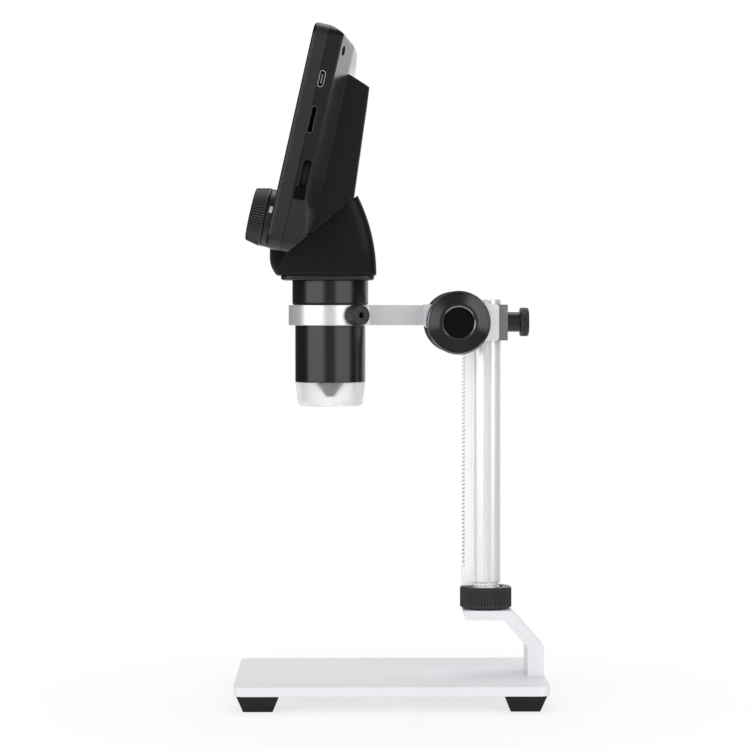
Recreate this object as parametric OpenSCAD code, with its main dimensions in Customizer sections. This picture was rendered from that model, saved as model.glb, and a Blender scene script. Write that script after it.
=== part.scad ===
// Digital microscope with a tilted screen head, held by a ring arm on a
// rack-and-pinion stand. Millimetres. The origin is on the ground under the
// middle of the base plate. The screen faces -Y, the column stands at the +Y
// end of the plate, +X is the user's right and +Z is up.

/* [Base plate and feet] */
// Length of the base plate, front to back
plate_length = 150; // [140:1:190]
// Width of the base plate
plate_width = 100; // [80:1:130]
// Thickness of the base plate
plate_thickness = 4.5; // [4:0.5:8]
// Radius of the plate's corners
plate_corner_radius = 5; // [1:0.5:12]
// Height of each rubber foot
foot_height = 7.9; // [6:0.1:14]
// Width of a foot where it meets the plate
foot_top_width = 20.3; // [17:0.1:24]
// Width of a foot on the ground
foot_ground_width = 14; // [10:0.5:16]
// Distance from the plate's edge to a foot
foot_inset = 1.4; // [0.5:0.1:4]
// Diameter of the foot screws
foot_screw_diameter = 3; // [2:0.5:4]
// Diameter of the foot screws' heads
foot_screw_head_diameter = 5.6; // [5:0.1:7]
// Depth of the foot screws' thread in the plate
foot_screw_bite = 3; // [2:0.1:3.4]

/* [Bracket] */
// Width of the bent bracket
bracket_width = 27; // [26:0.5:36]
// Height of the bracket's shelf above the plate
bracket_rise = 31.6; // [26:0.1:45]
// Thickness of the shelf
bracket_shelf_thickness = 4.5; // [4:0.1:8]
// Thickness of the leg
bracket_leg_thickness = 8; // [7:0.1:10]
// Height of the leg's upright part
bracket_leg_rise = 13.9; // [10:0.1:16]
// Slope of the bracket's bend, from level
bracket_slope = 48.2; // [42:0.1:56]
// Distance from the column's axis to the shelf's front edge
bracket_reach = 11.6; // [10:0.1:16]
// Set-back of the leg from the plate's end
bracket_setback = 0.3; // [0:0.1:3]
// Distance between the two bracket screws
bracket_screw_spacing = 15; // [12:0.5:17]
// Diameter of the bracket screws
bracket_screw_diameter = 4; // [3:0.5:5]

/* [Column and lock ring] */
// Distance from the plate's middle to the column's axis
column_offset = 47; // [44:0.5:50]
// Diameter of the column
column_diameter = 14.8; // [13.6:0.1:16]
// Height of the column's top above the plate
column_height = 183.2; // [180:0.1:260]
// Diameter of the thread at the column's foot
thread_diameter = 13.8; // [12:0.1:13.8]
// Pitch of that thread
thread_pitch = 1.25; // [1:0.05:1.5]
// Length of bare thread above the lock ring
thread_show = 2.5; // [1:0.1:4]
// Diameter of the lock ring
lock_ring_diameter = 25.3; // [22:0.1:26]
// Height of the lock ring
lock_ring_height = 10.8; // [8:0.1:14]
// Width of the guide grooves in the column's sides
groove_width = 2; // [1:0.1:3]
// Depth of the guide grooves
groove_depth = 0.9; // [0.5:0.1:1.5]
// Distance of the guide grooves behind the column's axis
groove_offset = 1.3; // [0:0.1:2]

/* [Rack, pinion and carriage] */
// Module of the stand's rack and pinion
stand_module = 0.6; // [0.5:0.05:0.7]
// Number of teeth on the stand's pinion
stand_pinion_teeth = 11; // [10:1:12]
// Width of the rack bar
rack_width = 6; // [5:0.1:7]
// Depth of the rack bar, tooth tips to back
rack_depth = 6.3; // [5.5:0.1:7]
// Depth of the rack bar's seat in the column
rack_seat = 1.9; // [1.2:0.1:2.4]
// Plain length of the rack bar below its teeth
rack_plain_length = 9.3; // [8:0.1:20]
// Height of the pinion's axis above the plate at rest
pinion_rise = 171.9; // [168:0.1:172]
// Diameter of the pinion shaft
pinion_shaft_diameter = 5; // [4:0.1:5.5]
// Outer diameter of the pinion bushes
bush_diameter = 8; // [7.8:0.1:10]
// Length of each pinion bush
bush_length = 6; // [4:0.1:7]
// Width of the carriage block
carriage_width = 25; // [24:0.5:30]
// Height of the carriage block
carriage_height = 17.6; // [16.6:0.1:19]
// Distance from the column's axis to the carriage's back face
carriage_back = 5.7; // [5.2:0.1:6.2]
// Distance from the column's axis to the carriage's front face
carriage_front = 30.5; // [28:0.1:34]
// Thickness of the clamp block
clamp_thickness = 4.2; // [4:0.1:7]
// Height of the clamp block
clamp_height = 17.4; // [16:0.1:17.6]
// Diameter of the lock screw's thread
lock_screw_diameter = 6; // [4:0.5:7]
// Diameter of the lock screw's neck
lock_neck_diameter = 9.7; // [8:0.1:12]
// Length of the lock screw's neck
lock_neck_length = 6.5; // [4:0.1:10]
// Diameter of the lock screw's head
lock_head_diameter = 14; // [13:0.1:20]
// Length of the lock screw's head
lock_head_length = 4.4; // [3:0.1:7]

/* [Focus knobs of the stand] */
// Diameter of the two large knobs
knob_diameter = 30.6; // [26:0.1:32]
// Length of a knob's rim
knob_rim_length = 12; // [9:0.1:16]
// Length of the hub that stands between knob and carriage
knob_hub_length = 2; // [1:0.1:4]
// Diameter of the flat recess in a knob's face
knob_recess_diameter = 16; // [12:0.1:20]
// Rise of a knob's coned face from rim to recess
knob_cone_rise = 1.2; // [0.5:0.1:2]
// Depth of the recess
knob_recess_depth = 1; // [0.5:0.1:2]

/* [Arm and ring] */
// Distance between the column's axis and the barrel's axis
barrel_reach = 76.3; // [72:0.1:77]
// Thickness of the arm and height of the ring
arm_thickness = 9.9; // [9:0.1:12]
// Width of the arm
arm_width = 14; // [12:0.5:18]
// Height of the arm's top above the pinion's axis
arm_top_rise = 8.5; // [8:0.1:8.7]
// Wall of the ring
ring_wall = 3; // [2.5:0.1:5]
// Diameter of the ring's thumb screw head
thumb_head_diameter = 9.8; // [8:0.1:9.8]
// Length of the thumb screw's head
thumb_head_length = 7.3; // [5:0.1:10]
// Diameter of the thumb screw's thread
thumb_screw_diameter = 4; // [3:0.5:5]
// Direction of the thumb screw round the ring, from +X towards +Y
thumb_angle = 33; // [15:1:50]
// Diameter of the studs that hold the arm
arm_stud_diameter = 4; // [3:0.5:4]

/* [Barrel, lamp and lens] */
// Diameter of the barrel tube
barrel_diameter = 34.4; // [34:0.1:36]
// Length of the barrel tube below its collar
barrel_length = 37.7; // [35:0.1:42]
// Diameter of the barrel's collar
collar_diameter = 37.2; // [36.8:0.1:40]
// Height of the collar
collar_height = 12.1; // [10:0.1:15]
// Height of the lamp shade below the barrel
shade_height = 11.6; // [9:0.1:14]
// Diameter of the shade at its top
shade_top_diameter = 34.2; // [33:0.1:34.4]
// Diameter of the shade at its rim
shade_rim_diameter = 31.5; // [29:0.1:33]
// Wall of the shade
shade_wall = 1.6; // [1.2:0.1:2]
// Diameter of the opening in the shade's floor
shade_opening = 20; // [18:0.5:24]
// Number of lamp diodes
lamp_count = 8; // [4:1:12]
// Diameter of the lens carriage
lens_carriage_diameter = 24; // [22:0.1:25]
// Length of the lens carriage
lens_carriage_length = 21; // [18:0.1:22]
// Diameter of the lens nose's stem
nose_diameter = 13.5; // [11:0.1:14]
// Diameter of the lens nose's tip
nose_tip_diameter = 5.6; // [5:0.1:7]
// Height of the nose's tip above the shade's rim
nose_tip_rise = 4.5; // [4:0.1:7]

/* [Head] */
// Width of the head
head_width = 124; // [118:0.5:140]
// Height of the head along its screen
head_height = 107.5; // [105:0.1:125]
// Tilt of the screen, from upright
head_tilt = 12.75; // [11.5:0.25:14]
// Wall of the head's shells
shell_wall = 2; // [1.6:0.1:2.2]
// Depth of the front shell behind the screen's face
front_depth = 7.6; // [7.6:0.1:8]
// Depth of the head's sides
side_depth = 14.3; // [13.5:0.1:15.5]
// Depth of the head's flat back
back_depth = 20.3; // [19.6:0.1:22]
// Width of the flat back and of the battery case
case_width = 83; // [78:0.5:90]
// Depth of the battery case at its upper edge
case_top_depth = 31.3; // [30.6:0.1:34]
// Depth of the battery case at its lower edge
case_low_depth = 35.5; // [34.5:0.1:38]
// Width of the screen's clear window
window_width = 101; // [98:0.5:104]
// Height of the screen's clear window
window_height = 60; // [56:0.5:61]
// Height of the window's middle above the head's foot
window_rise = 68; // [66:0.5:70]
// Thickness of the front panel
panel_thickness = 1; // [0.8:0.1:1.2]

/* [Focus wheel, dimmer and buttons] */
// Height of the focus wheel's axis above the head's foot
wheel_rise = 15; // [14.5:0.1:16]
// Diameter of the focus wheel at its front
wheel_front_diameter = 25.6; // [22:0.1:27]
// Diameter of the focus wheel at its back
wheel_back_diameter = 28.8; // [27.5:0.1:29]
// Length of the focus wheel
wheel_length = 8; // [6:0.1:12]
// Number of grip ribs round the focus wheel
wheel_ribs = 36; // [24:1:48]
// Length of the fixed collar behind the focus wheel
wheel_collar_length = 4.2; // [3:0.1:6]
// Diameter of the fixed collar
wheel_collar_diameter = 28.4; // [24:0.1:29]
// Diameter of the focus shaft
focus_shaft_diameter = 4; // [3:0.1:4]
// Module of the focus rack and pinion
focus_module = 0.5; // [0.4:0.05:0.5]
// Number of teeth on the focus pinion
focus_pinion_teeth = 12; // [12:1:13]
// Diameter of the dimmer's thumbwheel
dimmer_diameter = 18; // [14:0.5:20]
// Thickness of the dimmer's thumbwheel
dimmer_thickness = 2.6; // [2:0.1:3]
// Height of the dimmer's axis above the head's foot
dimmer_rise = 36.9; // [35:0.1:38]
// Diameter of the buttons
button_diameter = 6; // [4:0.1:7]
// Distance from the head's side to the outermost button's axis
button_edge = 14; // [13:0.5:17]
// Spacing of the buttons
button_spacing = 11.5; // [9:0.1:11.5]
// Travel of a button
button_travel = 0.4; // [0.2:0.05:0.5]

/* [Hidden] */

$fn = 72;
eps = 0.5;                 // overrun of a cut past a face
press = 0.01;              // radial clearance of a fixed fit
running = 0.05;            // radial clearance of a turning or sliding fit
gap = 0.3;                 // clearance between neighbours that move apart
pressure_angle = 25;
addendum_ratio = 0.9;
dedendum_ratio = 1.15;
backlash = 0.05;           // thinning of each tooth at the pitch line

// Base
plate_top = foot_height + plate_thickness;
foot_x = plate_width / 2 - foot_inset - foot_top_width / 2;
foot_y = plate_length / 2 - foot_inset - foot_top_width / 2;
foot_screw_r = foot_screw_diameter / 2;
foot_head_r = foot_screw_head_diameter / 2;
foot_head_height = 1.8;
foot_recess = foot_height / 2;

// Bracket
bracket_top = plate_top + bracket_rise;
bracket_bottom = bracket_top - bracket_shelf_thickness;
bracket_back_y = plate_length / 2 - bracket_setback;
bracket_leg_y = bracket_back_y - bracket_leg_thickness;
bracket_leg_top = plate_top + bracket_leg_rise;
bracket_front_y = column_offset - bracket_reach;
bracket_screw_r = bracket_screw_diameter / 2;
bracket_screw_y = (bracket_leg_y + bracket_back_y) / 2;
bracket_screw_bite = 8;
bracket_head_height = 2.4;

// Column
column_y = column_offset;
column_r = column_diameter / 2;
column_top = plate_top + column_height;
thread_r = thread_diameter / 2;
thread_depth = thread_pitch * 0.4;
lock_ring_top = bracket_top + lock_ring_height;
thread_top = lock_ring_top + thread_show;
thread_turns = floor((thread_top - bracket_bottom) / thread_pitch);

// Stand rack and pinion
stand_pitch = PI * stand_module;
stand_pitch_r = stand_module * stand_pinion_teeth / 2;
stand_tip_r = stand_pitch_r + addendum_ratio * stand_module;
rack_back_y = column_y - column_r + rack_seat;
rack_tip_y = rack_back_y - rack_depth;
rack_pitch_y = rack_tip_y + addendum_ratio * stand_module;
rack_root_y = rack_pitch_y + dedendum_ratio * stand_module;
rack_bottom = lock_ring_top + 2 * gap;
rack_teeth_bottom = rack_bottom + rack_plain_length;
rack_top = column_top - 0.6;
rack_screw_r = 1.25;
rack_head_r = 2;
rack_head_height = 1.4;
rack_screw_heights = [rack_bottom + rack_plain_length / 2, rack_top - 3];
rack_screw_end_y = column_y - 1;
pinion_y = rack_pitch_y - stand_pitch_r;
pinion_z = plate_top + pinion_rise;
pinion_half_width = rack_width / 2 + 0.6;
pinion_shaft_r = pinion_shaft_diameter / 2;
bush_r = bush_diameter / 2;
bush_flange_r = bush_r + 1.2;
bush_flange = 0.7;

// Carriage
carriage_back_y = column_y + carriage_back;
carriage_front_y = column_y - carriage_front;
carriage_bottom = pinion_z - carriage_height / 2;
carriage_top = pinion_z + carriage_height / 2;
carriage_bevel = 1;
clamp_back_y = carriage_back_y + clamp_thickness;
clamp_screw_r = 1.5;
clamp_screw_x = (column_r + running + carriage_width / 2) / 2;
clamp_screw_rise = 5.4;
clamp_head_r = 2.2;
clamp_head_height = 1.6;
clamp_screw_bite = 8;
lock_z = pinion_z + 0.2;
lock_screw_r = lock_screw_diameter / 2;
lock_pad_front_y = column_y + column_r + running;
lock_pad_thickness = 1;

// Arm, ring and barrel
arm_top = pinion_z + arm_top_rise;
arm_bottom = arm_top - arm_thickness;
arm_z = (arm_top + arm_bottom) / 2;
barrel_y = column_y - barrel_reach;
barrel_r = barrel_diameter / 2;
ring_bore_r = barrel_r + 0.2;
ring_r = ring_bore_r + ring_wall;
arm_stud_r = arm_stud_diameter / 2;
arm_stud_x = arm_width / 2 - arm_stud_r - 1.2;
arm_stud_half = 6.5;
thumb_r = thumb_screw_diameter / 2;
thumb_start = barrel_r + 0.1;
thumb_head_start = ring_r + gap;
tube_bottom = arm_top - barrel_length;
spigot_r = barrel_r - 1.2;
spigot_height = 7.2;
collar_top = arm_top + collar_height;
collar_r = collar_diameter / 2;
collar_edge = 1;
lens_r = lens_carriage_diameter / 2;
guide_r = lens_r + running;
lamp_seat_r = barrel_r - 1.7;
lamp_seat_height = 4.9;
sensor_seat = 3.2;
sensor_r = guide_r + 1.8;
passage_r = sensor_r + 0.2;
passage_way_r = barrel_r - 1.7;
passage_way_height = 34;
flange_thickness = 2.3;
flange_top = collar_top + flange_thickness;
shade_rim_z = tube_bottom - shade_height;
shade_floor = 1.6;
lamp_board_thickness = 1.2;
lamp_size = 2.8;
lamp_height = 1.2;
shade_spigot_height = lamp_seat_height - lamp_board_thickness - lamp_height - 0.2;
nose_r = nose_diameter / 2;
nose_tip_r = nose_tip_diameter / 2;
nose_tip_z = shade_rim_z + nose_tip_rise;
nose_cone_top = tube_bottom - 0.5;
lens_bottom = tube_bottom + lamp_seat_height + 5;
lens_top = lens_bottom + lens_carriage_length;

// Head frame: height runs up the screen, depth runs into the head
head_y = barrel_y - 30.37;
head_z = flange_top + 12.86;
seam_depth = 11.2;         // depth at which the slanted underside begins
seam_angle = 53.2;         // slope of the underside in the head's own frame
seam_far_depth = case_low_depth + 0.3;
function seam_height(depth) = (depth - seam_depth) * tan(seam_angle);
far_depth = 2.2 * case_low_depth;  // ends of the drawings that cut the head
far_low = -case_low_depth;
far_high = 1.3 * head_height;
head_half = head_width / 2;
case_half = case_width / 2;
head_corner_r = 5;
top_bevel = 5.3;
bevel_slope = (back_depth - side_depth) / (head_half - case_half);
top_slope = top_bevel / (head_half - case_half);
flare_height = 26.5;       // height at which the sides begin to deepen
case_top_height = 88.7;
case_edge_height = 84.7;
case_low_height = seam_height(case_low_depth) + 1.2;
partition_front = back_depth - shell_wall;
panel_gap = 0.1;
front_wall_back = panel_thickness + 1.4;
lcd_width = head_width - 18.6;
lcd_height = 67;
lcd_thickness = 2.6;
lcd_active_width = lcd_width - 10.4;
lcd_active_height = 54;
lcd_back = front_wall_back + lcd_thickness;
frame_sheet = 0.6;
board_front = lcd_back + 1;
board_thickness = front_depth - board_front;
board_left = -lcd_width / 2;
board_right = head_half - shell_wall - gap;
board_low = window_rise - lcd_height / 2 - 3;
board_high = window_rise + 24;
socket_face = head_half - 0.6;
usb_rise = 81.7;
usb_length = 7.5;
usb_height = 2.6;
usb_depth = 5.6;
card_rise = 62.3;
card_length = 12;
card_height = 2.2;
card_depth = 14.5;
dimmer_r = dimmer_diameter / 2;
dimmer_x = head_half - 0.3 - dimmer_r;
dimmer_front = front_depth + 2.3;
dimmer_back = dimmer_front + dimmer_thickness;
dimmer_pin_r = 1.5;
dimmer_slot = 12.6;
recess_rise = 27.6;
recess_length = 5.6;
recess_height = 6;
recess_depth = 1.2;
shell_screw_x = head_half - shell_wall - 3.6;
shell_screw_heights = [11.5, 97];
shell_screw_r = 1.1;
shell_boss_r = 3;
shell_head_r = 2.1;
shell_head_depth = 12.4;
shell_head_thickness = 1.4;
cover_thickness = 2;
cover_ledge = 1.6;
cover_low = case_low_height + 4;
cover_high = case_edge_height - 3;
cover_half = case_half - 3.5;
cover_screw_x = cover_half - 5;
cover_screw_height = cover_low + 5;
cover_screw_r = 1.1;
cover_screw_depth = case_low_depth - (cover_screw_height - case_low_height)
    * (case_low_depth - case_top_depth) / (case_edge_height - case_low_height);
cover_lean = atan((case_low_depth - case_top_depth) / (case_edge_height - case_low_height));
battery_half = 30;
battery_low = 47;
battery_high = 78;
battery_thickness = 8.2;

// Neck
neck_half = 27;            // half width under the head
neck_foot_half = 23.3;     // half width on the flange
neck_front_y = head_y + 0.8;
neck_back_y = barrel_y + 22.4;
neck_chin_r = 17;
neck_chin_y = neck_front_y + neck_chin_r;
neck_back_r = 85;
neck_bow_r = 46;
neck_rise = 42;

// Focus drive
wheel_shaft_r = focus_shaft_diameter / 2;
focus_pitch = PI * focus_module;
focus_pitch_r = focus_module * focus_pinion_teeth / 2;
focus_tip_r = focus_pitch_r + addendum_ratio * focus_module;
focus_rack_front_y = barrel_y - 9.7;
focus_rack_back_y = barrel_y - 4.3;
wheel_axis_y = head_y + wheel_rise * sin(head_tilt);
wheel_axis_z = head_z + wheel_rise * cos(head_tilt);
pinion_near = (focus_rack_front_y - wheel_axis_y) / cos(head_tilt);
pinion_far = (focus_rack_back_y - wheel_axis_y) / cos(head_tilt);
pinion_mid = (pinion_near + pinion_far) / 2;
focus_pinion_z = wheel_axis_z - pinion_mid * sin(head_tilt);
focus_rack_x = 6.5;
focus_rack_play = 0.8;
focus_rise = 6;            // highest lift of the lens carriage above its rest
focus_rack_top = focus_pinion_z + 11.5;
focus_shaft_end = pinion_far + 0.8;
wheel_front = -wheel_collar_length - 0.1 - wheel_length;
wheel_back = -wheel_collar_length - 0.1;
focus_bush_r = wheel_shaft_r + 2.4;
focus_bush_end = 13;
focus_boss_r = focus_bush_r + 2;

// Buttons
button_r = button_diameter / 2;
button_rise = wheel_rise - 1;
button_proud = 0.35;
button_flange = 0.8;
button_back = front_wall_back + 0.1 + button_flange;
button_names = ["menu", "up", "down", "ok", "snap", "power"];
switch_front = button_back + button_travel + 0.1;
switch_size = 4;
switch_thickness = 1;
button_board_front = switch_front + switch_thickness;
button_board_thickness = 1.2;

// ---------- Helpers ----------

// A block between two opposite corners.
module block(low, high) translate(low) cube(high - low);

// A plate with round upright corners, centred on X and Y.
module round_slab(width, length, height, radius) {
    translate([-width / 2 + radius, -length / 2, 0]) cube([width - 2 * radius, length, height]);
    translate([-width / 2, -length / 2 + radius, 0]) cube([width, length - 2 * radius, height]);
    for (x = [-1, 1], y = [-1, 1])
        translate([x * (width / 2 - radius), y * (length / 2 - radius), 0])
            cylinder(r = radius, h = height);
}

// Extrudes a drawing of the Y-Z plane across X, centred.
module across(width) rotate([90, 0, 90]) translate([0, 0, -width / 2]) linear_extrude(width) children();

// A rod along X or Y from one place to another.
module rod_x(r, x0, x1) translate([x0, 0, 0]) rotate([0, 90, 0]) cylinder(r = r, h = x1 - x0);
module rod_y(r, y0, y1) translate([0, y0, 0]) rotate([-90, 0, 0]) cylinder(r = r, h = y1 - y0);

// Flank of an involute gear: half the tooth's angle at radius r.
function involute(angle) = tan(angle) * 180 / PI - angle;
function tooth_half(r, pitch_r, modul) =
    let (base_r = pitch_r * cos(pressure_angle), thick = PI * modul / 2 - backlash)
    thick / pitch_r * 90 / PI + involute(pressure_angle) - involute(acos(min(1, base_r / r)));

// Outline of a gear with a tooth on its first axis.
module gear_outline(teeth, modul) {
    pitch_r = teeth * modul / 2;
    base_r = pitch_r * cos(pressure_angle);
    root_r = pitch_r - dedendum_ratio * modul;
    tip_r = pitch_r + addendum_ratio * modul;
    steps = 4;
    flank = [for (i = [0 : steps]) base_r + (tip_r - base_r) * i / steps];
    base_half = tooth_half(base_r, pitch_r, modul);
    polygon([for (i = [0 : teeth - 1]) let (mid = i * 360 / teeth) each concat(
        [root_r * [cos(mid - base_half), sin(mid - base_half)]],
        [for (r = flank) let (a = mid - tooth_half(r, pitch_r, modul)) r * [cos(a), sin(a)]],
        [for (k = [steps : -1 : 0]) let (r = flank[k], a = mid + tooth_half(r, pitch_r, modul))
            r * [cos(a), sin(a)]],
        [root_r * [cos(mid + base_half), sin(mid + base_half)]])]);
}

// Outline of a rack whose teeth point to -x from the pitch line x = 0. A gap
// is centred on y = 0, teeth run over whole pitches from low to high, and the
// bar goes on below them by the plain length.
module rack_outline(modul, low, high, back, plain = 0) {
    pitch = PI * modul;
    first = ceil(low / pitch);
    last = floor(high / pitch) - 1;
    half = (PI * modul / 2 - backlash) / 2;
    tip = half - addendum_ratio * modul * tan(pressure_angle);
    root = half + dedendum_ratio * modul * tan(pressure_angle);
    root_x = dedendum_ratio * modul;
    polygon(concat(
        [[back, low - plain], [root_x, low - plain]],
        [for (i = [first : last]) let (mid = (i + 0.5) * pitch) each [
            [root_x, mid - root], [-addendum_ratio * modul, mid - tip],
            [-addendum_ratio * modul, mid + tip], [root_x, mid + root]]],
        [[root_x, high], [back, high]]));
}

// ---------- Base ----------

module base_plate() color("gainsboro") difference() {
    translate([0, 0, foot_height])
        round_slab(plate_width, plate_length, plate_thickness, plate_corner_radius);
    for (x = [-1, 1], y = [-1, 1])
        translate([x * foot_x, y * foot_y, foot_height - eps])
            cylinder(r = foot_screw_r + press, h = foot_screw_bite + eps + press);
    for (x = [-1, 1]) translate([x * bracket_screw_spacing / 2, bracket_screw_y, foot_height]) {
        translate([0, 0, -eps]) cylinder(r = bracket_screw_r + press, h = plate_thickness + 2 * eps);
        translate([0, 0, -eps]) cylinder(r = bracket_screw_r + 1.6, h = bracket_head_height + eps);
    }
}

module foot(x, y) color("dimgray") translate([x * foot_x, y * foot_y, 0]) difference() {
    outline = [[-foot_ground_width / 2, 0], [foot_ground_width / 2, 0],
        [foot_top_width / 2, foot_height], [-foot_top_width / 2, foot_height]];
    intersection() {
        across(foot_top_width) polygon(outline);
        rotate([0, 0, 90]) across(foot_top_width) polygon(outline);
    }
    translate([0, 0, -eps]) cylinder(r = foot_head_r + 0.2, h = foot_recess + eps);
    translate([0, 0, -eps]) cylinder(r = foot_screw_r + press, h = foot_height + 2 * eps);
}

module foot_screws() color("silver") for (x = [-1, 1], y = [-1, 1])
    translate([x * foot_x, y * foot_y, foot_recess - foot_head_height]) {
        cylinder(r = foot_head_r, h = foot_head_height);
        cylinder(r = foot_screw_r,
            h = foot_head_height + foot_height - foot_recess + foot_screw_bite);
    }

module column_bracket() color("gainsboro") difference() {
    bend_y = bracket_back_y - (bracket_top - bracket_leg_top) / tan(bracket_slope);
    inner_y = bracket_leg_y - (bracket_bottom - bracket_leg_top) / tan(bracket_slope);
    across(bracket_width) polygon([
        [bracket_front_y, bracket_top], [bracket_front_y + 1.2, bracket_bottom],
        [inner_y, bracket_bottom], [bracket_leg_y, bracket_leg_top],
        [bracket_leg_y, plate_top], [bracket_back_y, plate_top],
        [bracket_back_y, bracket_leg_top], [bend_y, bracket_top]]);
    translate([0, column_y, bracket_bottom - eps])
        cylinder(r = thread_r + press, h = bracket_shelf_thickness + 2 * eps);
    for (x = [-1, 1]) translate([x * bracket_screw_spacing / 2, bracket_screw_y, plate_top - eps])
        cylinder(r = bracket_screw_r + press, h = bracket_screw_bite + eps + press);
}

module bracket_screws() color("silver") for (x = [-1, 1])
    translate([x * bracket_screw_spacing / 2, bracket_screw_y, foot_height]) {
        cylinder(r = bracket_screw_r + 1.5, h = bracket_head_height);
        cylinder(r = bracket_screw_r, h = plate_thickness + bracket_screw_bite);
    }

module column() color("whitesmoke") difference() {
    translate([0, column_y, 0]) {
        translate([0, 0, thread_top]) cylinder(r = column_r, h = column_top - thread_top);
        rotate_extrude() polygon(concat(
            [[0, bracket_bottom], [thread_r - thread_depth, bracket_bottom]],
            [for (i = [0 : thread_turns - 1]) let (low = bracket_bottom + i * thread_pitch) each [
                [thread_r - thread_depth, low + 0.1 * thread_pitch],
                [thread_r, low + 0.5 * thread_pitch],
                [thread_r - thread_depth, low + 0.9 * thread_pitch]]],
            [[thread_r - thread_depth, thread_top], [0, thread_top]]));
    }
    block([-rack_width / 2 - press, rack_tip_y, rack_bottom - press],
        [rack_width / 2 + press, rack_back_y, column_top + eps]);
    for (x = [-1, 1]) translate([x * column_r, column_y + groove_offset, (bracket_top + column_top) / 2])
        cube([2 * groove_depth, groove_width, column_top - bracket_top + 2 * eps], center = true);
    for (z = rack_screw_heights) translate([0, 0, z])
        rod_y(rack_screw_r + press, rack_back_y - eps, rack_screw_end_y + press);
}

module column_lock_ring() color("dimgray") translate([0, column_y, 0]) difference() {
    foot_chamfer = 1.9;
    foot_r = lock_ring_diameter / 2 - 3.2;
    rotate_extrude() polygon([[0, bracket_top], [foot_r, bracket_top],
        [lock_ring_diameter / 2, bracket_top + foot_chamfer],
        [lock_ring_diameter / 2, lock_ring_top - 0.5],
        [lock_ring_diameter / 2 - 0.5, lock_ring_top], [0, lock_ring_top]]);
    translate([0, 0, bracket_top - eps]) cylinder(r = thread_r + running, h = lock_ring_height + 2 * eps);
    translate([0, 0, lock_ring_top - 1]) cylinder(r1 = thread_r + running, r2 = thread_r + 1.4, h = 1.01);
}

module rack_bar() color("gainsboro") difference() {
    across(rack_width) translate([rack_pitch_y, pinion_z])
        rack_outline(stand_module, rack_teeth_bottom - pinion_z, rack_top - pinion_z,
            rack_back_y - rack_pitch_y);
    for (z = rack_screw_heights) translate([0, 0, z]) {
        rod_y(rack_screw_r + press, rack_tip_y - eps, rack_back_y + eps);
        rod_y(rack_head_r + 0.1, rack_tip_y - eps, rack_root_y + rack_head_height + 0.4);
    }
}

// The plain foot of the rack bar is part of the same bar.
module rack_bar_foot() color("gainsboro") difference() {
    block([-rack_width / 2, rack_tip_y, rack_bottom],
        [rack_width / 2, rack_back_y, rack_teeth_bottom]);
    translate([0, 0, rack_screw_heights[0]]) {
        rod_y(rack_screw_r + press, rack_tip_y - eps, rack_back_y + eps);
        rod_y(rack_head_r + 0.1, rack_tip_y - eps, rack_root_y + rack_head_height + 0.4);
    }
}

module rack_screws() color("silver") for (z = rack_screw_heights) translate([0, 0, z]) {
    rod_y(rack_head_r, rack_root_y + 0.4, rack_root_y + 0.4 + rack_head_height);
    rod_y(rack_screw_r, rack_root_y + 0.4, rack_screw_end_y);
}

// ---------- Carriage ----------

module carriage_block() color("gainsboro") difference() {
    across(carriage_width) polygon([
        [carriage_front_y, arm_bottom], [carriage_front_y + 1.2 * (arm_bottom - carriage_bottom),
        carriage_bottom], [carriage_back_y - carriage_bevel, carriage_bottom],
        [carriage_back_y, carriage_bottom + carriage_bevel],
        [carriage_back_y, carriage_top - carriage_bevel],
        [carriage_back_y - carriage_bevel, carriage_top], [carriage_front_y, carriage_top]]);
    translate([0, column_y, carriage_bottom - eps])
        cylinder(r = column_r + running, h = carriage_height + 2 * eps);
    block([-rack_width / 2 - gap, rack_tip_y - gap, carriage_bottom - eps],
        [rack_width / 2 + gap, column_y, carriage_top + eps]);
    translate([0, pinion_y, pinion_z]) {
        rod_x(bush_r + press, -carriage_width / 2 - eps, carriage_width / 2 + eps);
        rod_x(stand_tip_r + 0.5, -carriage_width / 2 + bush_length, carriage_width / 2 - bush_length);
    }
    for (x = [-1, 1]) {
        translate([x * arm_stud_x, 0, arm_z])
            rod_y(arm_stud_r + press, carriage_front_y - eps, carriage_front_y + arm_stud_half + press);
        for (z = [-1, 1]) translate([x * clamp_screw_x, 0, pinion_z + z * clamp_screw_rise])
            rod_y(clamp_screw_r + press, carriage_back_y - clamp_screw_bite - press, carriage_back_y + eps);
    }
}

module pinion_bushes() color("goldenrod") translate([0, pinion_y, pinion_z]) for (side = [0, 180])
    rotate([0, 0, side]) difference() {
        union() {
            rod_x(bush_r, carriage_width / 2 - bush_length, carriage_width / 2);
            rod_x(bush_flange_r, carriage_width / 2, carriage_width / 2 + bush_flange);
        }
        rod_x(pinion_shaft_r + running, 0, carriage_width);
    }

module clamp_block() color("dimgray") difference() {
    block([-carriage_width / 2, carriage_back_y, pinion_z - clamp_height / 2],
        [carriage_width / 2, clamp_back_y, pinion_z + clamp_height / 2]);
    translate([0, column_y, carriage_bottom - eps])
        cylinder(r = column_r + running, h = carriage_height + 2 * eps);
    translate([0, 0, lock_z]) rod_y(lock_screw_r + running, column_y, clamp_back_y + eps);
    for (x = [-1, 1], z = [-1, 1]) translate([x * clamp_screw_x, 0, pinion_z + z * clamp_screw_rise]) {
        rod_y(clamp_screw_r + press, carriage_back_y - eps, clamp_back_y + eps);
        rod_y(clamp_head_r + 0.1, clamp_back_y - clamp_head_height - 0.3, clamp_back_y + eps);
    }
}

module clamp_block_screws() color("silver") for (x = [-1, 1], z = [-1, 1])
    translate([x * clamp_screw_x, 0, pinion_z + z * clamp_screw_rise]) {
        rod_y(clamp_head_r, clamp_back_y - clamp_head_height - 0.3, clamp_back_y - 0.3);
        rod_y(clamp_screw_r, carriage_back_y - clamp_screw_bite, clamp_back_y - clamp_head_height);
    }

module lock_pad() color("goldenrod") translate([0, 0, lock_z])
    rod_y(lock_screw_r - 0.1, lock_pad_front_y, lock_pad_front_y + lock_pad_thickness);

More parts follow.
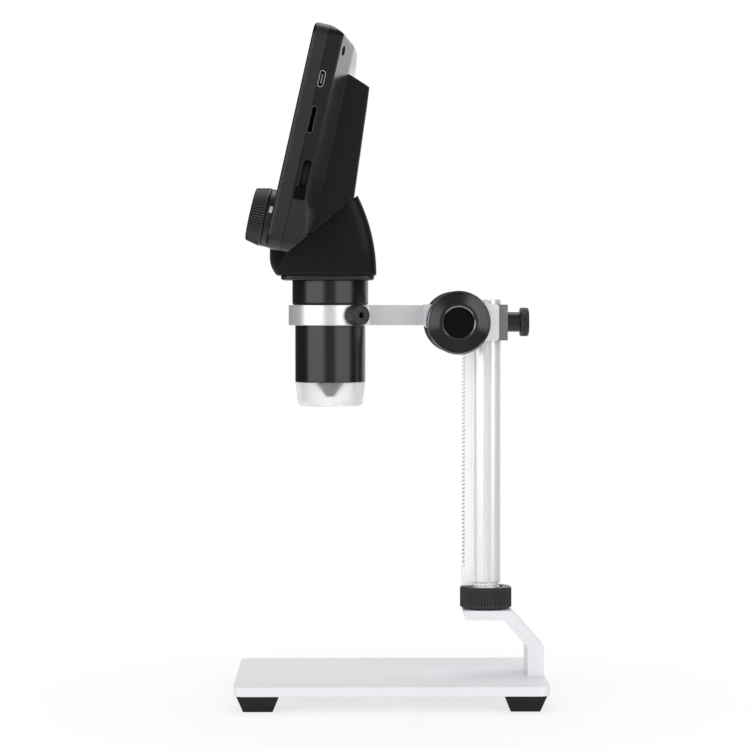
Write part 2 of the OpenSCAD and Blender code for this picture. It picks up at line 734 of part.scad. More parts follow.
module carriage_lock_screw() color("dimgray") translate([0, 0, lock_z]) {
    neck_start = clamp_back_y + 0.1;
    head_start = neck_start + lock_neck_length;
    rod_y(lock_screw_r, lock_pad_front_y + lock_pad_thickness + press, neck_start + 1);
    rod_y(lock_neck_diameter / 2, neck_start, head_start + 1);
    rod_y(lock_head_diameter / 2, head_start, head_start + lock_head_length - 0.8);
    translate([0, head_start + lock_head_length - 0.8, 0]) rotate([-90, 0, 0])
        cylinder(r1 = lock_head_diameter / 2, r2 = lock_head_diameter / 2 - 0.8, h = 0.8);
}

// ---------- Stand drive ----------

module pinion_shaft() color("silver") translate([0, pinion_y, pinion_z]) {
    rod_x(pinion_shaft_r, -knob_face_x() + 4.5, knob_face_x() - 4.5);
    across(2 * pinion_half_width) gear_outline(stand_pinion_teeth, stand_module);
}

// Where a knob's hub starts and where its rim ends, measured from the middle.
function knob_hub_x() = carriage_width / 2 + bush_flange + 0.2;
function knob_face_x() = knob_hub_x() + knob_hub_length + knob_rim_length;

module stand_knob(side) color("dimgray") translate([0, pinion_y, pinion_z]) rotate([0, side * 90, 0])
    difference() {
        rim_x = knob_hub_x() + knob_hub_length;
        face_x = knob_face_x();
        r = knob_diameter / 2;
        recess_r = knob_recess_diameter / 2;
        rotate_extrude() polygon([[0, knob_hub_x()], [recess_r, knob_hub_x()], [recess_r, rim_x],
            [r - 0.7, rim_x], [r, rim_x + 0.7], [r, face_x - 0.6], [r - 0.6, face_x],
            [recess_r + 0.4, face_x + knob_cone_rise], [recess_r, face_x + knob_cone_rise - 0.4],
            [recess_r, face_x + knob_cone_rise - knob_recess_depth],
            [0, face_x + knob_cone_rise - knob_recess_depth]]);
        translate([0, 0, knob_hub_x() - eps])
            cylinder(r = pinion_shaft_r + press, h = face_x - 4.5 + press - knob_hub_x() + eps);
        translate([0, 0, grub_x()]) rotate([0, 90, 0])
            cylinder(r = grub_r + press, h = knob_diameter);
    }

grub_r = 1.5;
grub_length = 5;
function grub_x() = knob_hub_x() + knob_hub_length + knob_rim_length / 2;

// Grub screws in the knobs' rims, under the axis side that faces down.
module knob_grub_screws() color("silver") translate([0, pinion_y, pinion_z]) for (side = [-1, 1])
    rotate([0, side * 90, 0]) translate([pinion_shaft_r + running, 0, grub_x()]) rotate([0, 90, 0])
        cylinder(r = grub_r, h = grub_length);

// ---------- Arm ----------

module support_arm() color("gainsboro") difference() {
    union() {
        translate([0, barrel_y, arm_bottom]) cylinder(r = ring_r, h = arm_thickness, $fn = 120);
        block([-arm_width / 2, barrel_y, arm_bottom], [arm_width / 2, carriage_front_y, arm_top]);
    }
    translate([0, barrel_y, arm_bottom - eps])
        cylinder(r = ring_bore_r, h = arm_thickness + 2 * eps, $fn = 120);
    translate([0, barrel_y, arm_z]) rotate([0, 0, thumb_angle]) rod_x(thumb_r + running, 0, 2 * ring_r);
    for (x = [-1, 1]) translate([x * arm_stud_x, 0, arm_z])
        rod_y(arm_stud_r + press, carriage_front_y - arm_stud_half - press, carriage_front_y + eps);
}

module arm_studs() color("silver") for (x = [-1, 1]) translate([x * arm_stud_x, 0, arm_z])
    rod_y(arm_stud_r, carriage_front_y - arm_stud_half, carriage_front_y + arm_stud_half);

module ring_thumb_screw() color("dimgray") translate([0, barrel_y, arm_z]) rotate([0, 0, thumb_angle])
    difference() {
        union() {
            rod_x(thumb_r, thumb_start, thumb_head_start + 1);
            rod_x(thumb_head_diameter / 2, thumb_head_start, thumb_head_start + thumb_head_length);
        }
        rod_x(1.35, thumb_head_start + thumb_head_length - 4, thumb_head_start + thumb_head_length + eps);
    }

// ---------- Barrel ----------

module barrel_tube() color("black") translate([0, barrel_y, 0]) difference() {
    union() {
        translate([0, 0, tube_bottom]) cylinder(r = barrel_r, h = arm_top - tube_bottom, $fn = 120);
        translate([0, 0, tube_bottom + 1])
            cylinder(r = spigot_r, h = arm_top + spigot_height - tube_bottom - 1);
    }
    translate([0, 0, tube_bottom - eps]) cylinder(r = guide_r, h = barrel_length + spigot_height + 2 * eps);
    translate([0, 0, tube_bottom - eps]) cylinder(r = lamp_seat_r, h = lamp_seat_height + eps);
    translate([0, 0, arm_top + sensor_seat]) cylinder(r = sensor_r + press, h = spigot_height);
}

module barrel_collar() color("black") translate([0, barrel_y, 0]) difference() {
    rotate_extrude($fn = 120) polygon([[0, arm_top], [collar_r - collar_edge, arm_top],
        [collar_r - 0.3 * collar_edge, arm_top + 0.3 * collar_edge],
        [collar_r, arm_top + collar_edge], [collar_r, collar_top], [0, collar_top]]);
    translate([0, 0, arm_top - eps]) cylinder(r = spigot_r + press, h = spigot_height + press + eps);
    translate([0, 0, arm_top]) cylinder(r = sensor_r, h = collar_height + eps);
}

module sensor_board() color("darkgreen") translate([0, barrel_y, arm_top + sensor_seat]) difference() {
    cylinder(r = sensor_r, h = 1.2);
    block([-sensor_r - 1, -sensor_r - 1, -eps], [sensor_r + 1, -3.7, 1.2 + eps]);
}

module lamp_board() translate([0, barrel_y, tube_bottom + lamp_seat_height]) {
    color("white") translate([0, 0, -lamp_board_thickness]) difference() {
        cylinder(r = lamp_seat_r - running, h = lamp_board_thickness);
        translate([0, 0, -eps]) cylinder(r = nose_r + 0.8, h = lamp_board_thickness + 2 * eps);
    }
    color("khaki") for (i = [0 : lamp_count - 1]) rotate([0, 0, i * 360 / lamp_count])
        translate([lamp_ring_r() - lamp_size / 2, -lamp_size / 2, -lamp_board_thickness - lamp_height])
            cube([lamp_size, lamp_size, lamp_height]);
}

function lamp_ring_r() = (nose_r + 0.8 + lamp_seat_r - shade_wall) / 2 - 0.2;

module lamp_shade() color("white") translate([0, barrel_y, 0]) difference() {
    top_r = shade_top_diameter / 2;
    rim_r = shade_rim_diameter / 2;
    spigot_out = lamp_seat_r - running;
    rotate_extrude($fn = 120) polygon([
        [shade_opening / 2, shade_rim_z], [rim_r - 2, shade_rim_z],
        [rim_r - 0.6, shade_rim_z + 0.6], [rim_r, shade_rim_z + 2],
        [top_r, tube_bottom], [spigot_out, tube_bottom],
        [spigot_out, tube_bottom + shade_spigot_height],
        [spigot_out - shade_wall, tube_bottom + shade_spigot_height],
        [spigot_out - shade_wall, tube_bottom - 1], [rim_r - shade_wall, shade_rim_z + 2.4],
        [rim_r - shade_wall - 0.8, shade_rim_z + shade_floor],
        [shade_opening / 2, shade_rim_z + shade_floor]]);
}

// ---------- Lens ----------

module lens_carriage() color("dimgray") {
    translate([0, barrel_y, lens_bottom]) difference() {
        cylinder(r = lens_r, h = lens_carriage_length);
        translate([0, 0, 3]) cylinder(r = lens_r - 2.6, h = lens_carriage_length);
        translate([0, 0, -eps]) cylinder(r = nose_r - 2, h = lens_carriage_length);
    }
    // The rack post stands in the cup, and its teeth lean with the head.
    intersection() {
        block([0, focus_rack_front_y, lens_bottom + 1], [focus_rack_x, focus_rack_back_y, focus_rack_top]);
        translate([focus_pitch_r, wheel_axis_y, wheel_axis_z]) rotate([90 - head_tilt, 0, 0])
            translate([0, 0, -60]) linear_extrude(80)
                rack_outline(focus_module, -13, 40, focus_rack_x - focus_pitch_r, 80);
    }
}

module lens_nose() translate([0, barrel_y, 0]) {
    color("black") difference() {
        union() {
            translate([0, 0, nose_cone_top]) cylinder(r = nose_r, h = lens_bottom - nose_cone_top);
            translate([0, 0, nose_tip_z])
                cylinder(r1 = nose_tip_r, r2 = nose_r, h = nose_cone_top - nose_tip_z);
        }
        translate([0, 0, nose_tip_z - eps]) cylinder(r = nose_tip_r - 0.6, h = 4);
        translate([0, 0, nose_tip_z + 3]) cylinder(r = nose_tip_r - 0.6, h = lens_bottom - nose_tip_z);
    }
    color("lightblue") translate([0, 0, nose_tip_z + 0.4]) cylinder(r = nose_tip_r - 0.6 - press, h = 1.6);
}

// ---------- Head ----------

// The head's own frame: X across, Y up the screen, Z out of the screen.
module in_head() translate([0, head_y, head_z]) rotate([90 - head_tilt, 0, 0]) children();

// A drawing of the X-height plane, filled between two depths.
module layer(near, far) translate([0, 0, -far]) linear_extrude(far - near) children();

// A drawing of the depth-height plane, filled across X.
module head_across(width) rotate([0, 90, 0]) translate([0, 0, -width / 2]) linear_extrude(width) children();

module rect(x0, y0, x1, y1) translate([x0, y0]) square([x1 - x0, y1 - y0]);

module round_rect(x0, y0, x1, y1, r) {
    rect(x0 + r, y0, x1 - r, y1);
    rect(x0, y0 + r, x1, y1 - r);
    for (x = [x0 + r, x1 - r], y = [y0 + r, y1 - r]) translate([x, y]) circle(r = r);
}

// Everything beyond a plane through a place in the head, both given as
// [across, height, depth].
module beyond(place, facing) translate([place[0], place[1], -place[2]])
    rotate([0, acos(-facing[2] / norm(facing)), atan2(facing[1], facing[0])])
        translate([-2 * head_width, -2 * head_width, 0]) cube([4 * head_width, 4 * head_width, head_half]);

// The space below the head's slanted underside.
module under_seam(lift) head_across(1.2 * head_width) polygon([
    [seam_depth, lift], [seam_depth, far_low], [far_depth, far_low],
    [far_depth, seam_height(far_depth) + lift]]);

module front_panel() color("black") in_head() difference() {
    layer(0, panel_thickness)
        round_rect(-head_half + 0.4, 0.4, head_half - 0.4, head_height - 0.4, head_corner_r);
    layer(-eps, panel_thickness + eps) rect(-window_width / 2 - panel_gap, window_low() - panel_gap,
        window_width / 2 + panel_gap, window_high() + panel_gap);
    translate([0, wheel_rise, -panel_thickness - eps])
        cylinder(r = focus_boss_r + 0.2, h = panel_thickness + 2 * eps);
    for (i = [0 : 5]) translate([button_x(i), button_rise, -panel_thickness - eps])
        cylinder(r = button_r + 0.15, h = panel_thickness + 2 * eps);
}

function window_low() = window_rise - window_height / 2;
function window_high() = window_rise + window_height / 2;
function button_x(i) = (i < 3 ? -1 : 1) * (head_half - button_edge - button_spacing * (i < 3 ? i : 5 - i));

module screen_window() color("slategray") in_head() layer(0, panel_thickness)
    rect(-window_width / 2, window_low(), window_width / 2, window_high());

module front_shell() color("dimgray") in_head() difference() {
    union() {
        difference() {
            layer(panel_thickness, front_depth)
                round_rect(-head_half, 0, head_half, head_height, head_corner_r);
            layer(front_wall_back, front_depth + eps) round_rect(-head_half + shell_wall, shell_wall,
                head_half - shell_wall, head_height - shell_wall, head_corner_r - shell_wall);
        }
        for (x = [-1, 1], y = shell_screw_heights) translate([x * shell_screw_x, y, -shell_head_depth + 1.6])
            cylinder(r = shell_boss_r, h = shell_head_depth - 1.6 - front_wall_back + 0.2);
        translate([0, wheel_rise, -8]) cylinder(r = focus_boss_r, h = 8 - panel_thickness);
        translate([0, wheel_rise, -panel_thickness]) {
            cylinder(r = focus_boss_r, h = panel_thickness + 0.2);
            translate([0, 0, panel_thickness])
                cylinder(r = wheel_collar_diameter / 2, h = wheel_collar_length);
        }
    }
    layer(panel_thickness - eps, front_wall_back + eps) rect(-lcd_active_width / 2 - 0.5,
        window_rise - lcd_active_height / 2 - 0.5, lcd_active_width / 2 + 0.5,
        window_rise + lcd_active_height / 2 + 0.5);
    translate([0, wheel_rise, -8 - eps])
        cylinder(r = focus_bush_r + press, h = 8 + wheel_collar_length + 2 * eps);
    for (i = [0 : 5]) translate([button_x(i), button_rise, -front_wall_back - eps])
        cylinder(r = button_r + 0.15, h = front_wall_back + eps);
    for (x = [-1, 1], y = shell_screw_heights) translate([x * shell_screw_x, y, -shell_head_depth])
        cylinder(r = shell_screw_r + press, h = shell_head_depth - front_wall_back - 0.6);
}

// Outer and inner forms of the back shell. Inset is the wall taken off.
module back_form(inset) {
    half = head_half - inset;
    near = front_depth - (inset == 0 ? 0 : eps);
    deep = back_depth - inset;
    lean = inset / cos(atan(bevel_slope));
    far_half = head_half - (deep - side_depth + lean) / bevel_slope;
    side = side_depth + inset * bevel_slope - lean;
    difference() {
        intersection() {
            layer(near, deep) round_rect(-half, inset, half, head_height - inset, head_corner_r - inset);
            union() for (turn = [0, head_tilt]) translate([0, flare_height, -side_depth]) rotate([turn, 0, 0])
                translate([0, -60, side_depth]) rotate([-90, 0, 0]) linear_extrude(200)
                    polygon([[-half, near], [half, near], [half, side], [far_half, deep],
                        [-far_half, deep], [-half, side]]);
        }
        for (x = [-1, 0, 1]) beyond([x * case_half, head_height, side_depth]
            - inset * [x * top_slope, 1, 1] / norm([x * top_slope, 1, 1]), [x * top_slope, 1, 1]);
    }
}

// The battery case behind the flat back.
module case_form(inset, rear) head_across(case_width - 2 * inset) polygon([
    [back_depth - 1, case_top_height - inset], [back_depth, case_top_height - inset],
    [case_top_depth - rear, case_edge_height - inset],
    [case_low_depth - rear, case_low_height], [seam_far_depth - rear, -seam_depth],
    [back_depth - 1, -seam_depth]]);

module back_shell() color("dimgray") in_head() difference() {
    union() {
        difference() {
            union() {
                back_form(0);
                case_form(0, 0);
            }
            difference() {
                back_form(shell_wall);
                under_seam(shell_wall / cos(seam_angle));
            }
            difference() {
                case_form(shell_wall, shell_wall + cover_ledge);
                under_seam(shell_wall / cos(seam_angle));
                layer(0, back_depth) rect(-head_half, -20, head_half, head_height + 20);
            }
        }
        intersection() {
            for (x = [-1, 1], y = shell_screw_heights) translate([x * shell_screw_x, y, -back_depth])
                cylinder(r = shell_boss_r, h = back_depth - shell_head_depth + 1.6);
            back_form(0);
        }
        for (x = [-1, 1]) translate([x * cover_screw_x, cover_screw_height, -cover_screw_depth])
            cylinder(r = 2.6, h = cover_screw_depth - back_depth + 0.5);
    }
    under_seam(0);
    // The neck's passage, upright in the stand's frame.
    rotate([head_tilt - 90, 0, 0]) translate([0, -head_y, -head_z]) neck_passage();
    // Sockets, dimmer slot and side recess.
    block([head_half - shell_wall - 4, usb_rise - usb_length / 2 - 0.5, -front_depth - usb_height - 0.4],
        [head_half + eps, usb_rise + usb_length / 2 + 0.5, -front_depth + eps]);
    block([head_half - shell_wall - 4, card_rise - card_length / 2 - 0.5, -front_depth - card_height - 0.4],
        [head_half + eps, card_rise + card_length / 2 + 0.5, -front_depth + eps]);
    block([head_half - shell_wall - 4, dimmer_rise - dimmer_slot / 2, -dimmer_back - 0.2],
        [head_half + eps, dimmer_rise + dimmer_slot / 2, -dimmer_front + 0.2]);
    block([head_half - recess_depth, recess_rise - recess_length / 2, -side_depth + 0.8],
        [head_half + eps, recess_rise + recess_length / 2, -side_depth + 0.8 + recess_height - 1]);
    // Screw seats.
    for (x = [-1, 1], y = shell_screw_heights) translate([x * shell_screw_x, y, -back_depth]) {
        cylinder(r = shell_head_r + 0.2, h = back_depth - shell_head_depth);
        cylinder(r = shell_screw_r + 0.1, h = back_depth - front_depth);
    }
    for (x = [-1, 1]) translate([x * cover_screw_x, cover_screw_height, -cover_screw_depth])
        cylinder(r = cover_screw_r + press, h = 7.2);
    // The seat of the battery cover and the opening under it.
    cover_form(0.15, -eps, cover_thickness);
    cover_form(-cover_ledge, 0, cover_thickness + cover_ledge + 1);
}

// The battery cover's slab, leaning with the case's back.
module cover_form(play, start, end) translate([0, case_low_height, -case_low_depth])
    rotate([cover_lean, 0, 0]) block([-cover_half - play, cover_low - case_low_height - play, start],
        [cover_half + play, cover_high - case_low_height + play, end]);

module battery_cover() color("dimgray") in_head() difference() {
    cover_form(0, 0, cover_thickness);
    for (x = [-1, 1]) translate([x * cover_screw_x, cover_screw_height, -cover_screw_depth - 1]) {
        cylinder(r = cover_screw_r + press, h = 8);
        cylinder(r = cover_screw_r + 1.1, h = 1 + 1.1);
    }
}

module cover_screws() color("silver") in_head() for (x = [-1, 1])
    translate([x * cover_screw_x, cover_screw_height, -cover_screw_depth + 0.3]) {
        cylinder(r = cover_screw_r + 1, h = 0.8);
        cylinder(r = cover_screw_r, h = 6.7);
    }

module shell_screws() color("silver") in_head() for (x = [-1, 1], y = shell_screw_heights)
    translate([x * shell_screw_x, y, -shell_head_depth - shell_head_thickness]) {
        cylinder(r = shell_head_r, h = shell_head_thickness);
        cylinder(r = shell_screw_r, h = shell_head_thickness + shell_head_depth - front_wall_back - 1);
    }

module lcd_panel() color("darkslategray") in_head() layer(front_wall_back, lcd_back)
    rect(-lcd_width / 2, window_rise - lcd_height / 2, lcd_width / 2, window_rise + lcd_height / 2);

module lcd_frame() color("silver") in_head() {
    layer(lcd_back, lcd_back + frame_sheet) difference() {
        rect(-lcd_width / 2, window_rise - lcd_height / 2, lcd_width / 2, window_rise + lcd_height / 2);
        rect(-lcd_width / 2 + 8, window_rise - lcd_height / 2 + 8, lcd_width / 2 - 8,
            window_rise + lcd_height / 2 - 8);
    }
    for (x = [-1, 1], y = [window_rise - lcd_height / 2 + 4, board_high - 4])
        translate([x * (lcd_width / 2 - 4), y, -board_front])
            cylinder(r = 2, h = board_front - lcd_back);
}

module main_board() color("darkgreen") in_head() difference() {
    layer(board_front, front_depth) rect(board_left, board_low, board_right, board_high);
    translate([0, 0, -front_depth - eps]) linear_extrude(board_thickness + 2 * eps)
        rect(-20, board_low - eps, 20, board_low + 3);
}

module socket(rise, length, height, depth) in_head() difference() {
    block([socket_face - depth, rise - length / 2, -front_depth - height],
        [socket_face, rise + length / 2, -front_depth]);
    block([socket_face - depth + 1, rise - length / 2 + 0.3, -front_depth - height + 0.35],
        [socket_face + eps, rise + length / 2 - 0.3, -front_depth - 0.35]);
}

module usb_socket() color("silver") socket(usb_rise, usb_length, usb_height, usb_depth);

module card_socket() color("silver") socket(card_rise, card_length, card_height, card_depth);

module dimmer_body() color("darkslategray") in_head() {
    block([dimmer_x - 5, dimmer_rise - 5, -dimmer_front + 0.2],
        [dimmer_x + 5, dimmer_rise + 5, -front_depth]);
    translate([dimmer_x, dimmer_rise, -dimmer_back - 0.2])
        cylinder(r = dimmer_pin_r, h = dimmer_thickness + 1);
}

module dimmer_wheel() color("black") in_head() translate([dimmer_x, dimmer_rise, -dimmer_back])
    difference() {
        cylinder(r = dimmer_r, h = dimmer_thickness);
        translate([0, 0, -eps]) cylinder(r = dimmer_pin_r + running, h = dimmer_thickness + 2 * eps);
        for (i = [0 : 39]) rotate([0, 0, i * 9]) translate([dimmer_r, 0, -eps])
            rotate([0, 0, 45]) translate([-0.3, -0.3, 0]) cube([0.6, 0.6, dimmer_thickness + 2 * eps]);
    }

module button_board() color("darkgreen") in_head() difference() {
    union() {
        layer(button_board_front, button_board_front + button_board_thickness)
            rect(-shell_screw_x + shell_boss_r + gap, 4, shell_screw_x - shell_boss_r - gap, 24);
        for (i = [0 : 5]) translate([button_x(i) - switch_size / 2, button_rise - switch_size / 2,
            -button_board_front]) cube([switch_size, switch_size, switch_thickness]);
    }
    translate([0, wheel_rise, -button_board_front - 3]) cylinder(r = focus_boss_r + gap, h = 6);
}

module button(i) color("dimgray") in_head() translate([button_x(i), button_rise, 0]) {
    translate([0, 0, -button_back]) cylinder(r = button_r, h = button_back + button_proud);
    translate([0, 0, -button_back]) cylinder(r = button_r + 0.7, h = button_flange);
}

module battery() color("steelblue") in_head()
    block([-battery_half, battery_low, -back_depth - battery_thickness],
        [battery_half, battery_high, -back_depth]);

// ---------- Neck ----------

module neck_flange() color("dimgray") translate([0, barrel_y, collar_top]) difference() {
    front = neck_chin_y - sqrt(pow(neck_chin_r, 2) - pow(head_z - flange_top, 2)) - barrel_y;
    back = neck_back_y - 1.1 - barrel_y;
    translate([0, (front + back) / 2, 0])
        round_slab(2 * neck_foot_half, back - front, flange_thickness, 6);
    translate([0, 0, -eps]) cylinder(r = sensor_r, h = flange_thickness + 2 * eps);
}

// The neck's side view, with a wall taken off.
module neck_side(inset) {
    chin_low = asin((head_z - flange_top) / (neck_chin_r - inset));
    back_top = asin(neck_rise / (neck_back_r - inset));
    polygon(concat(
        [for (i = [0 : 8]) let (a = chin_low * (1 - i / 8))
            [neck_chin_y - (neck_chin_r - inset) * cos(a), head_z - (neck_chin_r - inset) * sin(a)]],
        [[neck_front_y + inset, flange_top + neck_rise]],
        [for (i = [8 : -1 : 0]) let (a = back_top * i / 8)
            [neck_back_y - neck_back_r + (neck_back_r - inset) * cos(a),
                flange_top + (neck_back_r - inset) * sin(a)]]));
}

module neck_form(inset) intersection() {
    across(2 * neck_half) neck_side(inset);
    translate([0, neck_back_y + 5, 0]) rotate([90, 0, 0]) linear_extrude(80) polygon([
        [-neck_foot_half + inset, flange_top - eps], [neck_foot_half - inset, flange_top - eps],
        [neck_half - inset, flange_top + 15], [neck_half - inset, flange_top + neck_rise],
        [-neck_half + inset, flange_top + neck_rise], [-neck_half + inset, flange_top + 15]]);
    translate([0, 0, flange_top - 1]) linear_extrude(neck_rise + 2) union() {
        round_rect(-neck_half + inset, barrel_y - 15, neck_half - inset, neck_back_y - inset, 6);
        rect(-neck_half, barrel_y - 15, neck_half, barrel_y + 2);
        intersection() {
            translate([0, neck_front_y + neck_bow_r]) circle(r = neck_bow_r - inset, $fn = 180);
            rect(-neck_half, neck_front_y - 1, neck_half, barrel_y);
        }
    }
}

// The way for leads and the focus rack, from the barrel into the head.
module neck_passage() {
    intersection() {
        translate([0, barrel_y, flange_top - eps]) cylinder(r = passage_way_r, h = passage_way_height);
        across(2 * neck_half) neck_side(shell_wall);
    }
    block([-focus_rack_play, focus_rack_front_y - focus_rack_play, flange_top - eps],
        [focus_rack_x + focus_rack_play, focus_rack_back_y + focus_rack_play,
            focus_rack_top + focus_rise + focus_rack_play]);
}

module neck_shell() color("dimgray") difference() {
    neck_form(0);
    neck_form(shell_wall);
    in_head() head_across(head_width) polygon([[far_low, 0], [seam_depth, 0],
        [far_depth, seam_height(far_depth)], [far_depth, far_high], [far_low, far_high]]);
}

// ---------- Focus drive ----------

module focus_bush() color("goldenrod") in_head() translate([0, wheel_rise, -focus_bush_end]) difference() {
    cylinder(r = focus_bush_r, h = focus_bush_end + wheel_collar_length - 0.2);
    translate([0, 0, -eps])
        cylinder(r = wheel_shaft_r + running, h = focus_bush_end + wheel_collar_length + 2 * eps);
}

module focus_wheel() color("black") in_head() translate([0, wheel_rise, -wheel_back]) difference() {
    front_r = wheel_front_diameter / 2;
    back_r = wheel_back_diameter / 2;
    union() {
        cylinder(r1 = back_r, r2 = front_r, h = wheel_length - 1.2);
        translate([0, 0, wheel_length - 1.2]) cylinder(r1 = front_r, r2 = front_r - 1.2, h = 1.2);
    }
    translate([0, 0, -eps]) cylinder(r = wheel_shaft_r + press, h = wheel_length - 2 + eps);
    for (i = [0 : wheel_ribs - 1]) rotate([0, 0, i * 360 / wheel_ribs])
        translate([back_r, 0, 1.2]) rotate([0, -atan((back_r - front_r) / wheel_length), 0])
            rotate([0, 0, 45]) translate([-0.55, -0.55, 0]) cube([1.1, 1.1, wheel_length + 2]);
}

module focus_shaft() color("silver") in_head() translate([0, wheel_rise, -focus_shaft_end])
    cylinder(r = wheel_shaft_r, h = focus_shaft_end - wheel_back + wheel_length - 2);

module focus_pinion() color("goldenrod") in_head() translate([0, wheel_rise, -pinion_far]) difference() {
    linear_extrude(pinion_far - pinion_near) gear_outline(focus_pinion_teeth, focus_module);
    translate([0, 0, -eps]) cylinder(r = wheel_shaft_r + press, h = pinion_far - pinion_near + 2 * eps);
}

// ---------- Nodes ----------

base_plate();
foot(-1, -1);  // foot_front_left
foot(1, -1);  // foot_front_right
foot(-1, 1);  // foot_rear_left
foot(1, 1);  // foot_rear_right
foot_screws();
column_bracket();
bracket_screws();
column();
column_lock_ring();
union() { rack_bar(); rack_bar_foot(); }
rack_screws();
carriage_block();
pinion_bushes();
clamp_block();
clamp_block_screws();
lock_pad();
carriage_lock_screw();
pinion_shaft();
stand_knob(-1);  // stand_knob_left
stand_knob(1);  // stand_knob_right
knob_grub_screws();
support_arm();
arm_studs();
ring_thumb_screw();
barrel_tube();
barrel_collar();
neck_flange();
neck_shell();
front_panel();
screen_window();
front_shell();
back_shell();
battery_cover();
cover_screws();
shell_screws();
lcd_panel();
lcd_frame();
main_board();
usb_socket();
card_socket();
dimmer_body();
dimmer_wheel();
button_board();
button(0);  // button_menu
button(1);  // button_up
button(2);  // button_down
button(3);  // button_ok
button(4);  // button_snap
button(5);  // button_power
battery();
focus_bush();
focus_wheel();
focus_shaft();
focus_pinion();
lens_carriage();
lens_nose();
sensor_board();
lamp_board();
lamp_shade();
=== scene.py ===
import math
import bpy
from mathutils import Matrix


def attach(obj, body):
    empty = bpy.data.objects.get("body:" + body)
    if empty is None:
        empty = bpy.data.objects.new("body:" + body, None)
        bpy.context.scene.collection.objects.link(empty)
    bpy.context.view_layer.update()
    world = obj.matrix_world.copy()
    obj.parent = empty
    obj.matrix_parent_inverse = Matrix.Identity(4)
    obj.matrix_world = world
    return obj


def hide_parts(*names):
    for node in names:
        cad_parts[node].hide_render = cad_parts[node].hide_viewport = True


bl_info = {
    "name": "Digital Microscope",
    "version": (1, 0, 0),
    "blender": (4, 5, 0),
    "location": "3D View > Sidebar > Microscope",
    "description": "Screen-head microscope on a rack stand, dressed over its packed solids",
    "category": "Add Mesh",
}

import bmesh
import bpy
import numpy as np
from mathutils import Vector

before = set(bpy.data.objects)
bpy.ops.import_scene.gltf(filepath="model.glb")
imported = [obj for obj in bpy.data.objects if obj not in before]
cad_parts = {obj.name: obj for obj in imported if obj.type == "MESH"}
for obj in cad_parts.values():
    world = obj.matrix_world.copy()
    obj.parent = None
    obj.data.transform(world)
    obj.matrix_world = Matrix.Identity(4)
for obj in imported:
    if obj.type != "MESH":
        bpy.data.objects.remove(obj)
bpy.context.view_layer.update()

MM = 0.001
TURN = 2 * math.pi

# The head leans back, and its own places are given as across, up the screen
# and into the head.
TILT = math.radians(12.75)
HEAD_Y, HEAD_Z = -59.67, 220.06
# Its outline, the seam with the neck, the flare of its sides near the neck and the
# depth at which the rear shell starts.
HEAD_HALF, HEAD_HIGH, HEAD_ROUND = 62.0, 107.5, 7.0
SEAM_DEPTH, SEAM_SLOPE = 11.2, math.tan(math.radians(53.2))
FLARE_TOP, FLARE_SLOPE = 26.5, 0.2263
SKIRT = 7.65
# Places on the screen and on the side, all given up the screen or across it.
WINDOW_RISE, WHEEL_RISE, KEY_RISE = 68.0, 15.0, 14.0
USB_RISE, CARD_RISE = 81.7, 62.3
KEY_PLACES = {"menu": -48, "up": -36.5, "down": -25, "ok": 25, "snap": 36.5, "power": 48}
SHELL_SCREWS = [(-56.4, 11.5), (-56.4, 97.0), (56.4, 11.5), (56.4, 97.0)]

# Places in the stand's own frame.
BARREL_Y, COLUMN_Y = -29.3, 47.0
PINION_Y, PINION_Z = 32.44, 184.3
ARM_Z, NECK_LOW = 187.85, 207.2


# ---------------------------------------------------------------- settings


class MicroscopeSizes(bpy.types.PropertyGroup):
    """Sizes that a user would change."""

    edge: bpy.props.FloatProperty(
        name="Metal edge", description="Rounding of the stand's edges",
        default=0.0004, min=0.0001, max=0.001, unit="LENGTH", precision=5)
    head_edge: bpy.props.FloatProperty(
        name="Head edge", description="Rounding of the back shell's edges",
        default=0.0006, min=0.0003, max=0.003, unit="LENGTH", precision=5)
    crown: bpy.props.FloatProperty(
        name="Crown", description="Rise of the swelling above the battery case",
        default=0.002, min=0.0, max=0.004, unit="LENGTH", precision=5)
    knob_ribs: bpy.props.IntProperty(
        name="Knob ribs", description="Fine ribs round each stand knob",
        default=84, min=40, max=120)
    wheel_ribs: bpy.props.IntProperty(
        name="Wheel ribs", description="Ribs round the focus wheel",
        default=66, min=20, max=90)
    ring_ribs: bpy.props.IntProperty(
        name="Lock ring ribs", description="Ribs round the column's lock ring",
        default=60, min=30, max=90)
    distance: bpy.props.FloatProperty(
        name="Viewing distance", description="Camera to the middle of the object",
        default=1.232, min=0.5, max=3.0, unit="LENGTH")


class MicroscopeColours(bpy.types.PropertyGroup):
    """Colours that a user would change."""

    head: bpy.props.FloatVectorProperty(
        name="Head", description="Satin plastic of the head and neck",
        subtype="COLOR", size=3, min=0, max=1, default=(0.012, 0.012, 0.013))
    gloss: bpy.props.FloatVectorProperty(
        name="Gloss black", description="Barrel and front panel",
        subtype="COLOR", size=3, min=0, max=1, default=(0.006, 0.006, 0.007))
    alloy: bpy.props.FloatVectorProperty(
        name="Alloy", description="Blasted alloy of the stand",
        subtype="COLOR", size=3, min=0, max=1, default=(0.842, 0.830, 0.862))
    black: bpy.props.FloatVectorProperty(
        name="Black metal", description="Anodised knobs and screws",
        subtype="COLOR", size=3, min=0, max=1, default=(0.010, 0.010, 0.011))
    background: bpy.props.FloatVectorProperty(
        name="Background", description="Floor and backdrop",
        subtype="COLOR", size=3, min=0, max=1, default=(1.0, 1.0, 1.0))


def sizes():
    return bpy.context.scene.microscope_sizes


def colours():
    return bpy.context.scene.microscope_colours


# ---------------------------------------------------------------- materials


